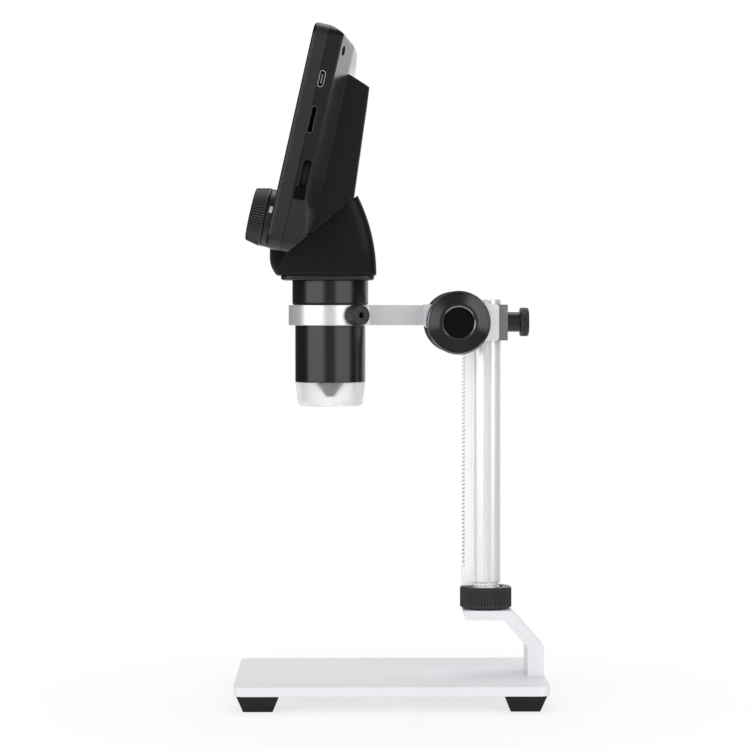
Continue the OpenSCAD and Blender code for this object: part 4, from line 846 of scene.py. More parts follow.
def make_lock_ring():
    profile = rounded([(7.0, 44.0), (11.0, 44.0), (12.65, 45.0), (12.65, 54.2), (12.05, 54.8),
                       (8.6, 54.8), (7.0, 53.6)], [0, 0.3, 0.4, 0.4, 0.3, 0.3, 0], 3)
    ridges = knurl(sizes().ring_ribs, 0.42, 45.0, 54.3)
    Form().hoop(dense(profile, 0.8), 480, at(0, COLUMN_Y), ridges).make(
        "lock_collar", "knurl_black", "lock_ring", ("column_lock_ring",), "black_metal", 50)


def dense(profile, step):
    """A profile with points added so that none is further than step from the next."""
    rows = [profile[:1]]
    for a, b in zip(profile[:-1], profile[1:]):
        n = max(1, int(np.linalg.norm(b - a) / step))
        rows.append(a + (b - a) * (np.arange(1, n + 1) / n)[:, None])
    return np.concatenate(rows)


def make_carriage():
    softened("slide_block", ["carriage_block"], "slide_alloy_painted_light", "carriage", sizes().edge,
             3)
    softened("clamp_bar", ["clamp_block"], "grey_metal", "carriage", 0.0006, 3)
    softened("bushes", ["pinion_bushes"], "bush_brass", "carriage", 0.0001)
    screws = Form()
    for x in (-1, 1):
        for z in (-1, 1):
            place = on_axis((x * 9.97, 55.0, PINION_Z + z * 5.4), (0, 1, 0))
            socket_screw(screws, place, 2.2, 1.6, 1.2, 1.0, 0.2)
    screws.make("clamp_fixings", "screw_metal", "carriage", ("clamp_block_screws",), "screw_steel")


def make_lock_screw():
    place = on_axis((0, 57.0, 184.5), (0, 1, 0))
    head = rounded([(0, 0), (4.85, 0), (4.85, 6.5), (7.0, 6.5), (7.0, 10.9), (0, 10.9)],
                   [0, 0.4, 0.3, 0.6, 1.1, 0], 4)
    form = Form().lathe(dense(head, 0.7), 264, place, knurl(44, 0.16, 6.9, 10.2))
    form.lathe([(3.0, -1.5), (3.0, 0.2)], 48, place)
    form.make("slide_lock", "knurl_black", "carriage_lock", ("carriage_lock_screw",),
              "black_metal", 45)


def make_knobs():
    """Each knob is a lathe form about the pinion's axis: hub, knurled rim, coned
    face and round recess, with a bright cut edge round the face and the recess.
    The edges lean 38 degrees from the face."""
    lean = math.tan(math.radians(38))
    ribs = sizes().knob_ribs
    hub, rim, face = 13.4, 15.4, 27.4
    high = face + 0.05 + 0.4 * lean
    top = high + 1.3
    floor = top - 0.65 * lean
    body = rounded([(2.6, hub), (8.0, hub), (8.0, rim), (15.3, rim), (15.3, face),
                    (14.95, face + 0.05)], [0, 0.3, 0.4, 0.7, 0.25, 0], 4)
    cone = rounded([(14.56, high), (9.2, top), (8.14, top)], [0, 1.0, 0], 4)
    well = rounded([(7.51, floor), (7.45, face), (2.6, face), (2.3, face - 0.2),
                    (0, face - 0.2)], [0, 0.2, 0.1, 0.2, 0], 3)
    ridges = knurl(ribs, 0.22, rim + 0.8, face - 0.5, 0.4)
    for side, name in ((1, "right"), (-1, "left")):
        place = on_axis((0, PINION_Y, PINION_Z), (side, 0, 0))
        Form().lathe(dense(body, 0.9), ribs * 6, place, ridges, False).make(
            "focus_knob_" + name, "knurl_black", "stand_focus", ("stand_knob_" + name,),
            "black_metal", 45)
        cuts = Form().lathe([(14.97, face + 0.03), (14.55, high)], 192, place, None, False)
        cuts.lathe([(8.15, top), (7.5, floor)], 144, place, None, False)
        cuts.make("knob_cuts_" + name, "cut_edge", "stand_focus", (), "black_metal", 25)
        Form().lathe(dense(cone, 0.8), 144, place, None, False).make(
            "knob_dish_" + name, "knob_face", "stand_focus", (), "black_metal", 25)
        Form().lathe(dense(well, 0.9), 144, place, None, False).make(
            "knob_plug_" + name, "plug_black_and_recess_shade", "stand_focus", (), "black_metal", 30)
    dress("screw_metal", "pinion_shaft", "knob_grub_screws")


def make_arm():
    profile = rounded([(17.4, 182.9), (20.4, 182.9), (20.4, 192.8), (17.4, 192.8)],
                      [0.3] * 4, 3, True)
    Form().hoop(profile, 192, at(0, BARREL_Y)).make(
        "arm_ring", "ring_alloy", "carriage", ("support_arm",), "bright_alloy", 40)
    outline, normals = round_outline(7.0, 4.95, 0.35, 3)
    place = on_axis((0, -11.2, ARM_Z), (0, 1, 0), (1, 0, 0))
    Form().stack(outline, normals, fillet(0, 27.7, 0, 0.25, 3), place).make(
        "arm_bar", "arm_alloy", "carriage", (), "bright_alloy", 35)
    dress("screw_metal", "arm_studs")


def make_ring_screw():
    a = math.radians(33)
    place = on_axis((0, BARREL_Y, ARM_Z), (math.cos(a), math.sin(a), 0))
    profile = rounded([(2.0, 17.4), (2.0, 20.7), (4.9, 20.7), (4.9, 28.0), (1.5, 28.0),
                       (1.35, 27.6), (1.35, 24.0), (0, 24.0)],
                      [0, 0, 0.5, 0.7, 0.2, 0, 0, 0], 4)
    Form().lathe(dense(profile, 0.6), 192, place, knurl(24, 0.34, 21.2, 27.4)).make(
        "ring_lock", "knurl_black", "ring_lock", ("ring_thumb_screw",), "black_metal", 45)


# ---------------------------------------------------------------- the barrel


def make_barrel():
    place = at(0, BARREL_Y)
    tube = rounded([(15.6, 155.1), (17.2, 155.1), (17.2, 192.8), (16.0, 192.8), (16.0, 200.0),
                    (12.1, 200.0), (12.05, 160.0), (15.5, 160.0)],
                   [0.2, 0.5, 0, 0, 0, 0, 0, 0], 4, True)
    Form().hoop(tube, 192, place).make(
        "barrel_body", "gloss_black", "microscope", ("barrel_tube",), "barrel_gloss", 30)
    collar = rounded([(16.02, 192.8), (18.6, 192.8), (18.6, 204.9), (14.0, 204.9),
                      (14.0, 200.1), (16.02, 200.1)], [0, 1.1, 0.3, 0, 0, 0], 5, True)
    Form().hoop(collar, 192, place).make(
        "barrel_head", "gloss_black", "microscope", ("barrel_collar",), "barrel_gloss", 30)


def make_shade():
    place = at(0, BARREL_Y)
    cup = rounded([(10.0, 143.5), (14.2, 143.5), (15.75, 144.6), (17.1, 155.1), (15.4, 155.1),
                   (15.4, 157.6), (13.8, 157.6), (13.8, 154.3), (14.2, 145.9), (13.2, 145.1),
                   (10.0, 145.1)], [0.4, 0.9, 1.0, 0.2, 0, 0, 0, 0.3, 0.6, 0.6, 0.4], 5, True)
    Form().hoop(cup, 160, place).make(
        "lamp_cup", "shade_clear", "microscope", ("lamp_shade",), "shade_clear", 30)
    nose = rounded([(1.5, 148.0), (1.9, 148.0), (6.75, 154.3), (6.75, 165.1), (1.5, 165.1)],
                   [0.1, 0.25, 0.5, 0, 0], 4, True)
    Form().hoop(nose, 96, place).make(
        "objective", "anodised_black", "lens_slide", ("lens_nose",), "lens_black", 30)
    lens = rounded([(0, 148.3), (1.1, 148.5), (1.51, 148.8), (1.51, 150.0), (0, 150.0)],
                   [0, 0.6, 0, 0, 0], 4)
    Form().lathe(lens, 64, place).make(
        "objective_glass", "lens_glass", "lens_slide", (), "lens_black", 40)
    dress("lamp_white", "lamp_board")
    dress("board_green", "sensor_board")
    dress("anodised_black", "lens_carriage")


# ---------------------------------------------------------------- neck


def neck_ring(level):
    """One closed outline round the neck at a height: an arc at the front whose
    sagitta grows with height, straight sides and round rear corners. From the side,
    the chin and the back follow circles."""
    chin_r, chin_top, back_r, corner_r = 13, 216.0, 85, 6.5
    rise = level - NECK_LOW
    share = min(1.0, rise / 19)
    half = 23.3 + 3.7 * share * (2 - share)
    chin = chin_r - math.sqrt(chin_r ** 2 - max(0.0, chin_top - level) ** 2)
    front = -58.87 + chin
    back = -6.9 - (back_r - math.sqrt(back_r ** 2 - rise ** 2))
    sag = np.interp(rise, [0, 10, 40], [1.3, 8.0, 9.5])
    t = np.linspace(-1, 1, 25)
    bow = np.stack([half * t, front + sag * t ** 2], -1)
    side = np.linspace(front + sag, back - corner_r, 14)[1:-1]
    a = np.linspace(0, math.pi / 2, 9)
    corner = np.stack([half - corner_r + corner_r * np.cos(a),
                       back - corner_r + corner_r * np.sin(a)], -1)
    right = np.concatenate([np.stack([np.full(12, half), side], -1), corner])
    left = right[::-1] * [-1, 1]
    return np.concatenate([bow, right, left])


def barrel_way(top):
    """The room that the neck and the head leave for the barrel."""
    return Form().lathe([(15.5, 206.0), (15.5, top)], 64, at(0, BARREL_Y))


def make_neck():
    """The neck's outlines from its foot up to the seam: under the screen's lean at
    the front, and under the head's slanted lower side behind it."""
    foot = [NECK_LOW, NECK_LOW + 0.15, NECK_LOW + 0.4]
    levels = np.concatenate([foot, np.linspace(208.2, 246.0, 64)])
    rings = np.stack([neck_ring(v) for v in levels])
    inset = np.interp(levels, foot, [0.4, 0.12, 0])[:, None, None]
    rings = rings - np.stack([corner_normals(r) for r in rings]) * inset
    y = rings[..., 1]
    bend_y, bend_z, rise = -48.7, 218.0, 0.8394
    under_head = bend_z + (y - bend_y) * rise
    under_screen = HEAD_Z - (y - HEAD_Y) * math.tan(TILT)
    seam = np.where(y > bend_y, under_head, under_screen)
    z = np.minimum(np.broadcast_to(levels[:, None], y.shape), seam - 0.02)
    p = np.concatenate([rings, z[..., None]], -1)
    neck = Form().grid(p).cap(p[0]).cap(p[-1]).make(
        "neck_housing", "neck_black", "microscope", ("neck_shell",), "head_plastic", 30)
    carve(neck, barrel_way(239.8))
    outline, normals = round_outline(23.3, 22.5, 6.0, 8, (0, -30.5))
    flange = Form().stack(outline, normals, fillet(204.9, NECK_LOW, 0.9, 0.9, 5)).make(
        "neck_plate", "satin_black", "microscope", ("neck_flange",), "head_plastic", 30)
    carve(flange, Form().lathe([(13.85, 204.0), (13.85, 208.0)], 64, at(0, BARREL_Y)))


# ---------------------------------------------------------------- the head


def least(a, b, r):
    """The smaller of two surfaces, blended over a width r: their straight mix less
    a parabola between them."""
    h = np.clip(0.5 + 0.5 * (b - a) / r, 0, 1)
    return b * (1 - h) + a * h - r * h * (1 - h)


def shell_depth(x, u):
    """Depth of the head's rear surface at a place across and up it: the least of
    the crowned flat, the side bevels, the top bevel and the slanted underside.
    Below the top of the flare, the side bevels deepen downwards."""
    across = np.abs(x)
    soft, slope = 0.5, 6.0 / 20.5
    lift = sizes().crown / MM
    hump = np.clip(1 - ((u - 96.0) / 8.5) ** 2, 0, 1) ** 1.1
    flat = 20.3 + lift * hump * np.clip((41.5 - across) / 16, 0, 1)
    side = 14.3 + (HEAD_HALF - across) * slope
    flare = side + (FLARE_TOP - u) * FLARE_SLOPE
    side = -least(-side, -flare, 0.6)
    top = 8.1 + (HEAD_HIGH - u) * 2.2
    seam = SEAM_DEPTH + u / SEAM_SLOPE
    return least(least(least(flat, side, soft), top, soft * 4), seam, soft * 0.6)


def case_depth(x, u):
    """Depth of the battery case: its back, its upper end and the underside. It is
    the same all the way across."""
    soft = 0.5
    back = 31.3 + (84.7 - u) * 0.08235
    top = 20.1 + (88.7 - u) * 2.8
    seam = SEAM_DEPTH + u / SEAM_SLOPE
    return least(least(back, top, soft * 1.4), seam, soft * 0.6)


def pillow(form, half, low, high, r, edge, skirt, depth, nx, nu, step=0.8):
    """A surface over a rectangle with round corners: offset rings from its outline
    in to a plain grid, each point at the depth given by a function, with a
    quarter-circle edge and a straight skirt down to a level."""
    xs, us = np.linspace(-half + r, half - r, nx), np.linspace(low + r, high - r, nu)
    a = np.linspace(0, math.pi / 2, 9)[1:-1]
    zero, one = np.zeros(nx), np.ones(nx)
    parts = [
        (np.stack([xs, np.full(nx, low + r)], -1), np.stack([zero, -one], -1)),
        (np.tile([half - r, low + r], (7, 1)), np.stack([np.sin(a), -np.cos(a)], -1)),
        (np.stack([np.full(nu, half - r), us], -1), np.tile([1.0, 0.0], (nu, 1))),
        (np.tile([half - r, high - r], (7, 1)), np.stack([np.cos(a), np.sin(a)], -1)),
        (np.stack([xs[::-1], np.full(nx, high - r)], -1), np.stack([zero, one], -1)),
        (np.tile([-half + r, high - r], (7, 1)), np.stack([-np.sin(a), np.cos(a)], -1)),
        (np.stack([np.full(nu, -half + r), us[::-1]], -1), np.tile([-1.0, 0.0], (nu, 1))),
        (np.tile([-half + r, low + r], (7, 1)), np.stack([-np.cos(a), -np.sin(a)], -1)),
    ]
    core = np.concatenate([p for p, _ in parts])
    out = np.concatenate([n for _, n in parts])
    t = np.linspace(0, math.pi / 2, 6)
    plain = np.linspace(edge, r, max(3, int((r - edge) / step)) + 1)
    far = np.concatenate([edge * (1 - np.cos(t)), plain[1:]])
    ring = core[None] + out[None] * (r - far)[:, None, None]
    arc = edge - np.sqrt(np.maximum(0, edge ** 2 - (edge - far) ** 2))
    drop = np.where(far < edge, arc, 0)
    w = np.maximum(depth(ring[..., 0], ring[..., 1]) - drop[:, None], skirt + 0.02)
    wall = np.concatenate([np.broadcast_to(ring[:1], (2, *ring.shape[1:])), ring])
    w = np.concatenate([np.full((1, w.shape[1]), skirt), np.maximum(w[:1] - 0.4, skirt), w])
    form.grid(head_place(wall[..., 0], wall[..., 1], w))
    gx, gu = np.meshgrid(xs, us, indexing="ij")
    form.grid(head_place(gx, gu, depth(gx, gu)), around=False)
    return head_place(wall[0, :, 0], wall[0, :, 1], np.full(len(wall[0]), skirt))


def make_back():
    """The rear shell and the battery case: an outer and an inner surface each,
    joined round the rim. The inner one is a wall's thickness less deep, and a
    little more near the lower end."""
    edge = sizes().head_edge / MM
    form = Form()
    rim = pillow(form, HEAD_HALF, 0, HEAD_HIGH, HEAD_ROUND, edge, SKIRT, shell_depth, 170, 146)
    inner = lambda x, u: shell_depth(x, u) - 2.0 - np.clip(12 - u, 0, 6) * 0.25
    inside = pillow(form, 60.2, 1.8, 105.7, 5.2, 0.6, SKIRT, inner, 170, 146)
    shell = form.grid(np.stack([rim, inside])).make(
        "head_back", "shell_black", "microscope", ("back_shell",), "head_plastic", 24)
    case = Form()
    rim = pillow(case, 40.8, 11.5, 88.7, 1.6, 0.45, 17.0, case_depth, 96, 88, 0.5)
    inner = lambda x, u: case_depth(x, u) - 2.6 - np.clip(20 - u, 0, 6) * 0.2
    inside = pillow(case, 39.6, 16.0, 86.8, 1.2, 0.5, 17.0, inner, 96, 88, 0.5)
    box = case.grid(np.stack([rim, inside])).make(
        "battery_case", "shell_black", "microscope", (), "head_plastic", 24)
    cut_back(shell, box)


def slot_cutter(rise, length, w0, w1, r, start=55.5):
    """A cutter for a slot in the head's side: a rounded outline up and into the
    head, carried across it from a start to just outside."""
    outline, normals = round_outline(length / 2, (w1 - w0) / 2, r, 4, (rise, (w0 + w1) / 2))
    return Form().stack(outline, normals, [(start, 0), (HEAD_HALF + 2, 0)], head_across)


def cut_back(shell, box):
    """The slots and wells of the rear shell, the battery's opening in its case,
    its cover with four grip slots, and the screws of both."""
    cutters = [slot_cutter(USB_RISE, 8.3, 7.4, 10.6, 1.0),
               slot_cutter(CARD_RISE, 12.9, 7.4, 10.2, 0.5),
               slot_cutter(36.9, 12.9, 9.6, 12.8, 1.2),
               slot_cutter(27.6, 6.0, 8.2, 13.4, 0.5, 60.9)]
    cutters += [Form().lathe([(2.3, -24.0), (2.3, -12.6)], 40, head_out(x, u))
                for x, u in SHELL_SCREWS]
    carve(shell, *cutters, barrel_way(249.0), angle=50)
    # The cover's own plane leans from the screen's, and starts at this place.
    lean, rise, deep = math.radians(4.7), 33.7, 35.5
    slab = lambda a, b, c: head_place(a, rise + b * math.cos(lean) + c * math.sin(lean),
                                      deep - b * math.sin(lean) + c * math.cos(lean))
    seat = brick((-38.2, 3.85, -2.1), (38.2, 48.2, 3.0), slab, 2.0)
    hole = brick((-36.4, 5.6, -6.0), (36.4, 46.4, 3.0), slab, 1.5)
    carve(box, barrel_way(241.0), seat, hole)
    cover = brick((-38.0, 4.0, -2.0), (38.0, 48.0, 0.0), slab, 2.0, 0.35).make(
        "case_lid", "shell_black", "microscope", ("battery_cover",), "head_plastic", 30)
    sunk = 1.1
    wells, screws = [], Form()
    for x in (-33, 33):
        place = lambda a, b, c, x=x: slab(a + x, b + 9.0, c)
        wells.append(Form().lathe([(2.3, -sunk), (2.3, 1.0)], 40, place))
        low = lambda a, b, c, p=place: p(a, b, c - sunk)
        socket_screw(screws, low, 2.1, 0.8, 0.8, 0.6, 0.2)
    grip = [brick((-9, 40.0 + 1.6 * k, -0.45), (9, 40.7 + 1.6 * k, 1.0), slab, 0.3)
            for k in range(4)]
    carve(cover, *wells, *grip, angle=12)
    screws.make("lid_screws", "screw_metal", "microscope", ("cover_screws",), "screw_steel", 30)
    screws = Form()
    for x, u in SHELL_SCREWS:
        place = lambda a, b, c, x=x, u=u: head_place(a + x, b + u, c + 12.4)
        socket_screw(screws, place, 2.1, 1.4, 0.8, 0.8, 0.2)
    screws.make("case_screws", "screw_metal", "microscope", ("shell_screws",), "screw_steel", 30)


def frame_wall(*levels):
    """A frame in the head: closed outlines with as many points each, given as
    (outline, depth, inset), joined in turn and the last to the first."""
    flat = np.stack([points - normals * inset for (points, normals), _, inset in levels])
    deep = np.array([depth for _, depth, _ in levels], float)[:, None]
    walls = head_place(flat[..., 0], flat[..., 1], np.broadcast_to(deep, flat.shape[:2]))
    return Form().grid(walls, over=True)


def make_front():
    """The front shell, the dark panel over it with its holes for the keys and the
    wheel's boss, the window, and the collar behind the wheel."""
    middle = (0, HEAD_HIGH / 2)
    outer = round_outline(HEAD_HALF, HEAD_HIGH / 2, HEAD_ROUND, 10, middle)
    pocket = round_outline(60, 51.75, 5, 10, middle)
    opening = round_outline(48, 27.5, 0.5, 10, (0, WINDOW_RISE))
    glass = round_outline(50.6, 30.1, 0.4, 10, (0, WINDOW_RISE))
    # Both the panel and the shell behind it take part in one edge of this radius.
    edge = 1.9
    inset = lambda w: edge - math.sqrt(edge ** 2 - max(0.0, edge - w) ** 2)
    shell = frame_wall(
        (outer, 7.6, 0.25), (outer, 7.35, 0.0), (outer, edge, 0.0),
        *((outer, w, inset(w)) for w in (1.6, 1.35, 1.12)), (outer, 1.02, inset(1.02) + 0.25),
        (opening, 1.02, 0.0), (opening, 2.4, 0.0), (pocket, 2.4, 0.0), (pocket, 7.6, 0.0)).make(
        "head_front", "satin_black", "microscope", ("front_shell",), "head_plastic", 30)
    holes = [Form().lathe([(3.15, -3.5), (3.15, 1.0)], 40, head_out(x, KEY_RISE))
             for x in KEY_PLACES.values()]
    boss = Form().lathe([(6.6, -3.5), (6.6, 1.0)], 64, head_out(0, WHEEL_RISE))
    carve(shell, *holes, boss)
    panel = frame_wall(
        (outer, 1.0, inset(1.0) + 0.2),
        *((outer, w, inset(w)) for w in (0.92, 0.7, 0.5, 0.32, 0.17, 0.07, 0.02, 0.0)),
        (glass, 0.0, 0.0), (glass, 1.0, 0.0)).make(
        "front_sheet", "panel_black", "microscope", ("front_panel",), "panel_gloss", 30)
    carve(panel, *holes, boss)
    outline, normals = round_outline(50.5, 30.0, 0.4, 6, (0, WINDOW_RISE))
    Form().stack(outline, normals, fillet(0.0, 1.0, 0.1, 0, 2), head_place).make(
        "screen_pane", "window_glass", "microscope", ("screen_window",), "window_glass", 12)
    collar = rounded([(4.42, -8.0), (6.4, -8.0), (6.4, 0.0), (14.2, 0.0), (14.2, 4.2),
                      (4.42, 4.2)], [0, 0, 0.2, 0.5, 0.5, 0], 4, True)
    Form().hoop(collar, 128, head_out(0, WHEEL_RISE)).make(
        "wheel_collar", "satin_black", "microscope", (), "head_plastic", 30)


def make_keys():
    profile = rounded([(0, -3.3), (3.7, -3.3), (3.7, -2.5), (3.0, -2.5), (3.0, 0.35),
                       (1.5, 0.33), (0, 0.22)], [0, 0, 0, 0, 0.25, 0.4, 0], 4)
    for name, x in KEY_PLACES.items():
        Form().lathe(profile, 64, head_out(x, KEY_RISE)).make(
            "key_" + name, "key_black", "key_" + name, ("button_" + name,), "button_plastic", 30)


def make_wheel():
    """A coned wheel: a smooth rear band, deep ribs over the cone and a dished,
    smooth front face. Ribs are a clipped, rectified sine of the angle."""
    count = sizes().wheel_ribs
    profile = rounded([(2.1, 4.3), (14.2, 4.3), (14.4, 5.2), (12.9, 11.9), (11.2, 12.3),
                       (10.6, 12.1), (0, 11.9)], [0, 0.3, 0.5, 0.7, 0.2, 0.5, 0], 4)
    start, end, depth, inner, soft = 5.1, 12.25, 0.5, 11.6, 0.5

    def ribs(a, r, z):
        wave = np.clip(np.abs(np.sin(a * count / 2)) * 1.3, 0, 1)
        fade = np.clip((z - start) / soft, 0, 1) * np.clip((end - z) / soft, 0, 1) * (r > inner)
        return -depth * (1 - wave) * fade

    Form().lathe(dense(profile, 0.6), count * 8, head_out(0, WHEEL_RISE), ribs, False).make(
        "focus_grip", "wheel_black", "focus_drive", ("focus_wheel",), "button_plastic", 40)
    dress("screw_metal", "focus_shaft")
    dress("bush_brass", "focus_pinion", "focus_bush")


# ---------------------------------------------------------------- side of the head


def sleeve(outline, wall, depth, inward, name, shade_name, node):
    """A socket: a thin bright mouth round an outline, and behind it a dark lining
    of the same outline less the wall, closed at its back. The lining is painted
    shade for the socket's inside, which lies in shade."""
    normals = corner_normals(outline)
    row = lambda d, i: np.concatenate([outline - normals * i, np.full((len(outline), 1), d)], -1)
    rows = lambda *levels: inward(*np.moveaxis(np.stack([row(*level) for level in levels]), -1, 0))
    mouth = rows((0.12, 0.0), (0.0, 0.1), (0.0, wall - 0.08), (0.1, wall), (0.7, wall), (0.7, 0.0))
    Form().grid(mouth, over=True).make(
        name, "socket_metal", "microscope", (node,), "socket_metal", 40)
    # Painted shade: the lining's walls and back are dark plastic where the socket's metal inside
    # lies in shade.
    walls = rows((0.65, 0.0), (0.65, wall + 0.02), (depth - 0.6, wall + 0.02), (depth, 0.0))
    back = rows((depth - 0.6, wall + 0.02))[0]
    Form().grid(walls).cap(walls[-1]).cap(back).make(
        shade_name, "strip_black_and_socket_shade", "microscope", (), "socket_metal", 40)


def make_sockets():
    """The two sockets are thin shells round a rounded outline, with a tongue or a
    spring strip inside, set back a little in their slots."""
    inward = lambda a, b, c: head_place(61.4 - c, a, b)
    mouth = np.array([(-4.0, 7.5), (4.0, 7.5), (4.0, 9.4), (3.0, 10.5), (-3.0, 10.5), (-4.0, 9.4)])
    outline = rounded(mouth, [0.9, 0.9, 0.8, 0.6, 0.6, 0.8], 3, True) + [USB_RISE, 0]
    sleeve(outline, 0.38, 5.5, inward, "usb_shell", "usb_painted_shade", "usb_socket")
    flat, normals = round_outline(2.3, 0.32, 0.2, 3, (USB_RISE, 9.0))
    tongue = Form().stack(flat, normals, [(0.5, 0.05), (0.6, 0), (4.6, 0)], inward)
    for k in range(5):
        low, high = USB_RISE - 1.5 + 0.65 * k, USB_RISE - 1.2 + 0.65 * k
        tongue.add(brick((low, 8.5, 0.62), (high, 8.7, 4.4), inward))
    tongue.make("usb_tongue", "grey_metal", "microscope", (), "socket_metal", 30)
    outline, _ = round_outline(6.3, 1.3, 0.35, 3, (CARD_RISE, 8.8))
    sleeve(outline, 0.16, 14.2, inward, "card_shell", "card_painted_shade", "card_socket")
    softened("dimmer_dial", ["dimmer_wheel"], "strip_black_and_socket_shade", "dimmer", 0.00008,
             1, 40)
    dress("strip_black_and_socket_shade", "dimmer_body")
    # A dark plate on the floor of the side's shallow recess: painted shade that makes it look as
    # dark as a deep cut.
    brick((24.75, 8.35, 60.85), (30.45, 13.25, 61.0), head_across, 0.4).make(
        "recess_shade_plate", "plug_black_and_recess_shade", "microscope", (), "head_plastic", 30)
    t = np.linspace(-0.115, 0.115, 6) + 0.27
    r, start, end = 14.2, 1.7, 3.2
    rows = ((r + 0.01, start), (r + 0.04, start), (r + 0.04, end), (r + 0.01, end))
    p = np.stack([np.stack([rr * np.cos(t), rr * np.sin(t), np.full(6, z)], -1)
                  for rr, z in rows])
    p = head_out(0, WHEEL_RISE)(p[..., 0], p[..., 1], p[..., 2])
    Form().grid(p, around=False, over=True).make(
        "index_mark", "marking_white", "microscope", (), "head_plastic", 40)


def dress_inside():
    dress("display_face", "lcd_panel")
    dress("sheet_metal", "lcd_frame")
    dress("board_green", "main_board", "button_board")
    dress("cell_wrap", "battery")
    dress("bush_brass", "lock_pad")


# ---------------------------------------------------------------- stage


def lamp(name, place, target, wide, high, power):
    light = bpy.data.lights.new(name, "AREA")
    light.shape, light.size, light.size_y, light.energy = "RECTANGLE", wide, high, power
    obj = bpy.data.objects.new(name, light)
    bpy.context.scene.collection.objects.link(obj)
    obj.location = place
    aim(obj, target)
    obj.visible_camera = False


def aim(obj, target):
    obj.rotation_euler = (Vector(target) - obj.location).to_track_quat("-Z", "Y").to_euler()


def studio_white(tree, place, near, far):
    """How white the studio looks to a ray, and whether the ray is mirrored. To the
    camera it is 1. To a ray off gloss or through glass it is 1 behind the object, a
    little to the column's side, and falls to a dim room beside it, as
    0.954 x - 0.30 y of its direction goes from near to far. Straight ahead the room
    is a mid grey."""
    dim, grey = 0.06, 0.27
    ray = tree.add("ShaderNodeLightPath")
    way = tree.add("ShaderNodeVectorMath", {"operation": "NORMALIZE"},
                   {0: tree.add("ShaderNodeTexCoord", output=place)})
    x = tree.add("ShaderNodeVectorMath", {"operation": "DOT_PRODUCT"},
                 {0: way, 1: (0.954, -0.30, 0.0)}, "Value")
    mirrored = ray.maths("MAXIMUM", ray.output("Is Glossy Ray"), ray.output("Is Transmission Ray"))
    ahead = tree.ramp(tree.axes(way)[0], 0.80, 0.96, dim, grey)
    seen = ray.maths("MAXIMUM", tree.ramp(x, near, far, 1.0, dim), ahead)
    return ray.maths("MAXIMUM", ray, mirrored * seen), mirrored


def mix_white(tree, factor, plain, output):
    """Mixes a plain shader with white light by a factor."""
    glow = tree.add("ShaderNodeEmission", None, {0: (*colours().background, 1)})
    tree.join(tree.add("ShaderNodeMixShader", None, {0: factor, 1: plain, 2: glow}), output)


def make_surround():
    """The studio's air: soft light from everywhere, white only where it is seen."""
    world = bpy.data.worlds.new("surround")
    bpy.context.scene.world = world
    world.use_nodes = True
    tree = Tree(world.node_tree)
    white, mirrored = studio_white(tree, "Generated", -0.95, -0.76)
    soft = tree.add("ShaderNodeBackground", None, {"Color": (1, 1, 1, 1), "Strength": 0.37})
    dark = tree.add("ShaderNodeBackground", None, {"Strength": 0.0})
    plain = tree.add("ShaderNodeMixShader", None, {0: mirrored, 1: soft, 2: dark})
    mix_white(tree, white, plain, tree.tree.nodes["World Output"].inputs[0])


def make_floor():
    """A wide disc whose own shade, and so the object's shadow, shows near the feet
    and fades to the backdrop's white. Mirrored, its paper goes dark further out,
    where the studio isn't white."""
    reaches = [(0.0, 0.0), (400.0, 0.0), (4000.0, 0.0), (30000.0, 0.0)]
    mesh = Form().lathe(reaches, 64, None, None, False).mesh("floor")
    floor = bpy.data.objects.new("floor", mesh)
    bpy.context.scene.collection.objects.link(floor)
    paper = Finish("floor_paper", (0.96, 0.96, 0.96), Roughness=0.9, Specular_IOR_Level=0.0)
    white, mirrored = studio_white(paper, "Object", -0.95, -0.72)
    reach = paper.add("ShaderNodeVectorMath", {"operation": "LENGTH"}, {0: paper.where()}, "Value")
    output = paper.tree.nodes["Material Output"].inputs[0]
    dark = paper.add("ShaderNodeEmission", None, {"Strength": 0.0})
    far = mirrored * paper.ramp(reach, 0.25, 0.33)
    shaded = Wire(paper, paper.shader.outputs[0])
    plain = paper.add("ShaderNodeMixShader", None, {0: far, 1: shaded, 2: dark})
    mix_white(paper, white * paper.ramp(reach, 0.09, 0.22, 0.75, 1.0), plain, output)
    mesh.materials.append(paper.material)


def make_stage():
    scene = bpy.context.scene
    scene.view_settings.view_transform = "Standard"
    make_surround()
    make_floor()
    middle = (0.0, -0.01, 0.19)
    lamp("left_box", (0.86, -1.00, 0.40), middle, 1.48, 1.7, 13.6)
    lamp("right_box", (0.96, 0.85, 0.40), middle, 1.28, 1.7, 11.3)
    lamp("top_box", (-0.55, 0.0, 1.35), middle, 1.0, 1.0, 8.0)
    camera = bpy.data.cameras.new("camera")
    camera.lens, camera.sensor_width = 120.7, 36
    camera.clip_start, camera.clip_end = 0.05, 100
    seat = bpy.data.objects.new("camera", camera)
    scene.collection.objects.link(seat)
    seat.location = (sizes().distance, -0.0221, 0.1923)
    aim(seat, (0.0, -0.0074, 0.1585))
    scene.camera = seat


# ---------------------------------------------------------------- operators


class MICROSCOPE_OT_finishes(bpy.types.Operator):
    """Makes the material of every surface"""

    bl_idname, bl_label, bl_options = "microscope.finishes", "Finishes", {"REGISTER", "UNDO"}

    def execute(self, context):
        make_finishes()
        return {"FINISHED"}


class MICROSCOPE_OT_base(bpy.types.Operator):
    """Makes the plate, the feet, the bracket and their screws"""

    bl_idname, bl_label, bl_options = "microscope.base", "Base", {"REGISTER", "UNDO"}

    def execute(self, context):
        make_base()
        return {"FINISHED"}


class MICROSCOPE_OT_column(bpy.types.Operator):
    """Makes the column with its thread and dresses the rack"""

    bl_idname, bl_label, bl_options = "microscope.column", "Column", {"REGISTER", "UNDO"}

    def execute(self, context):
        make_column()
        return {"FINISHED"}


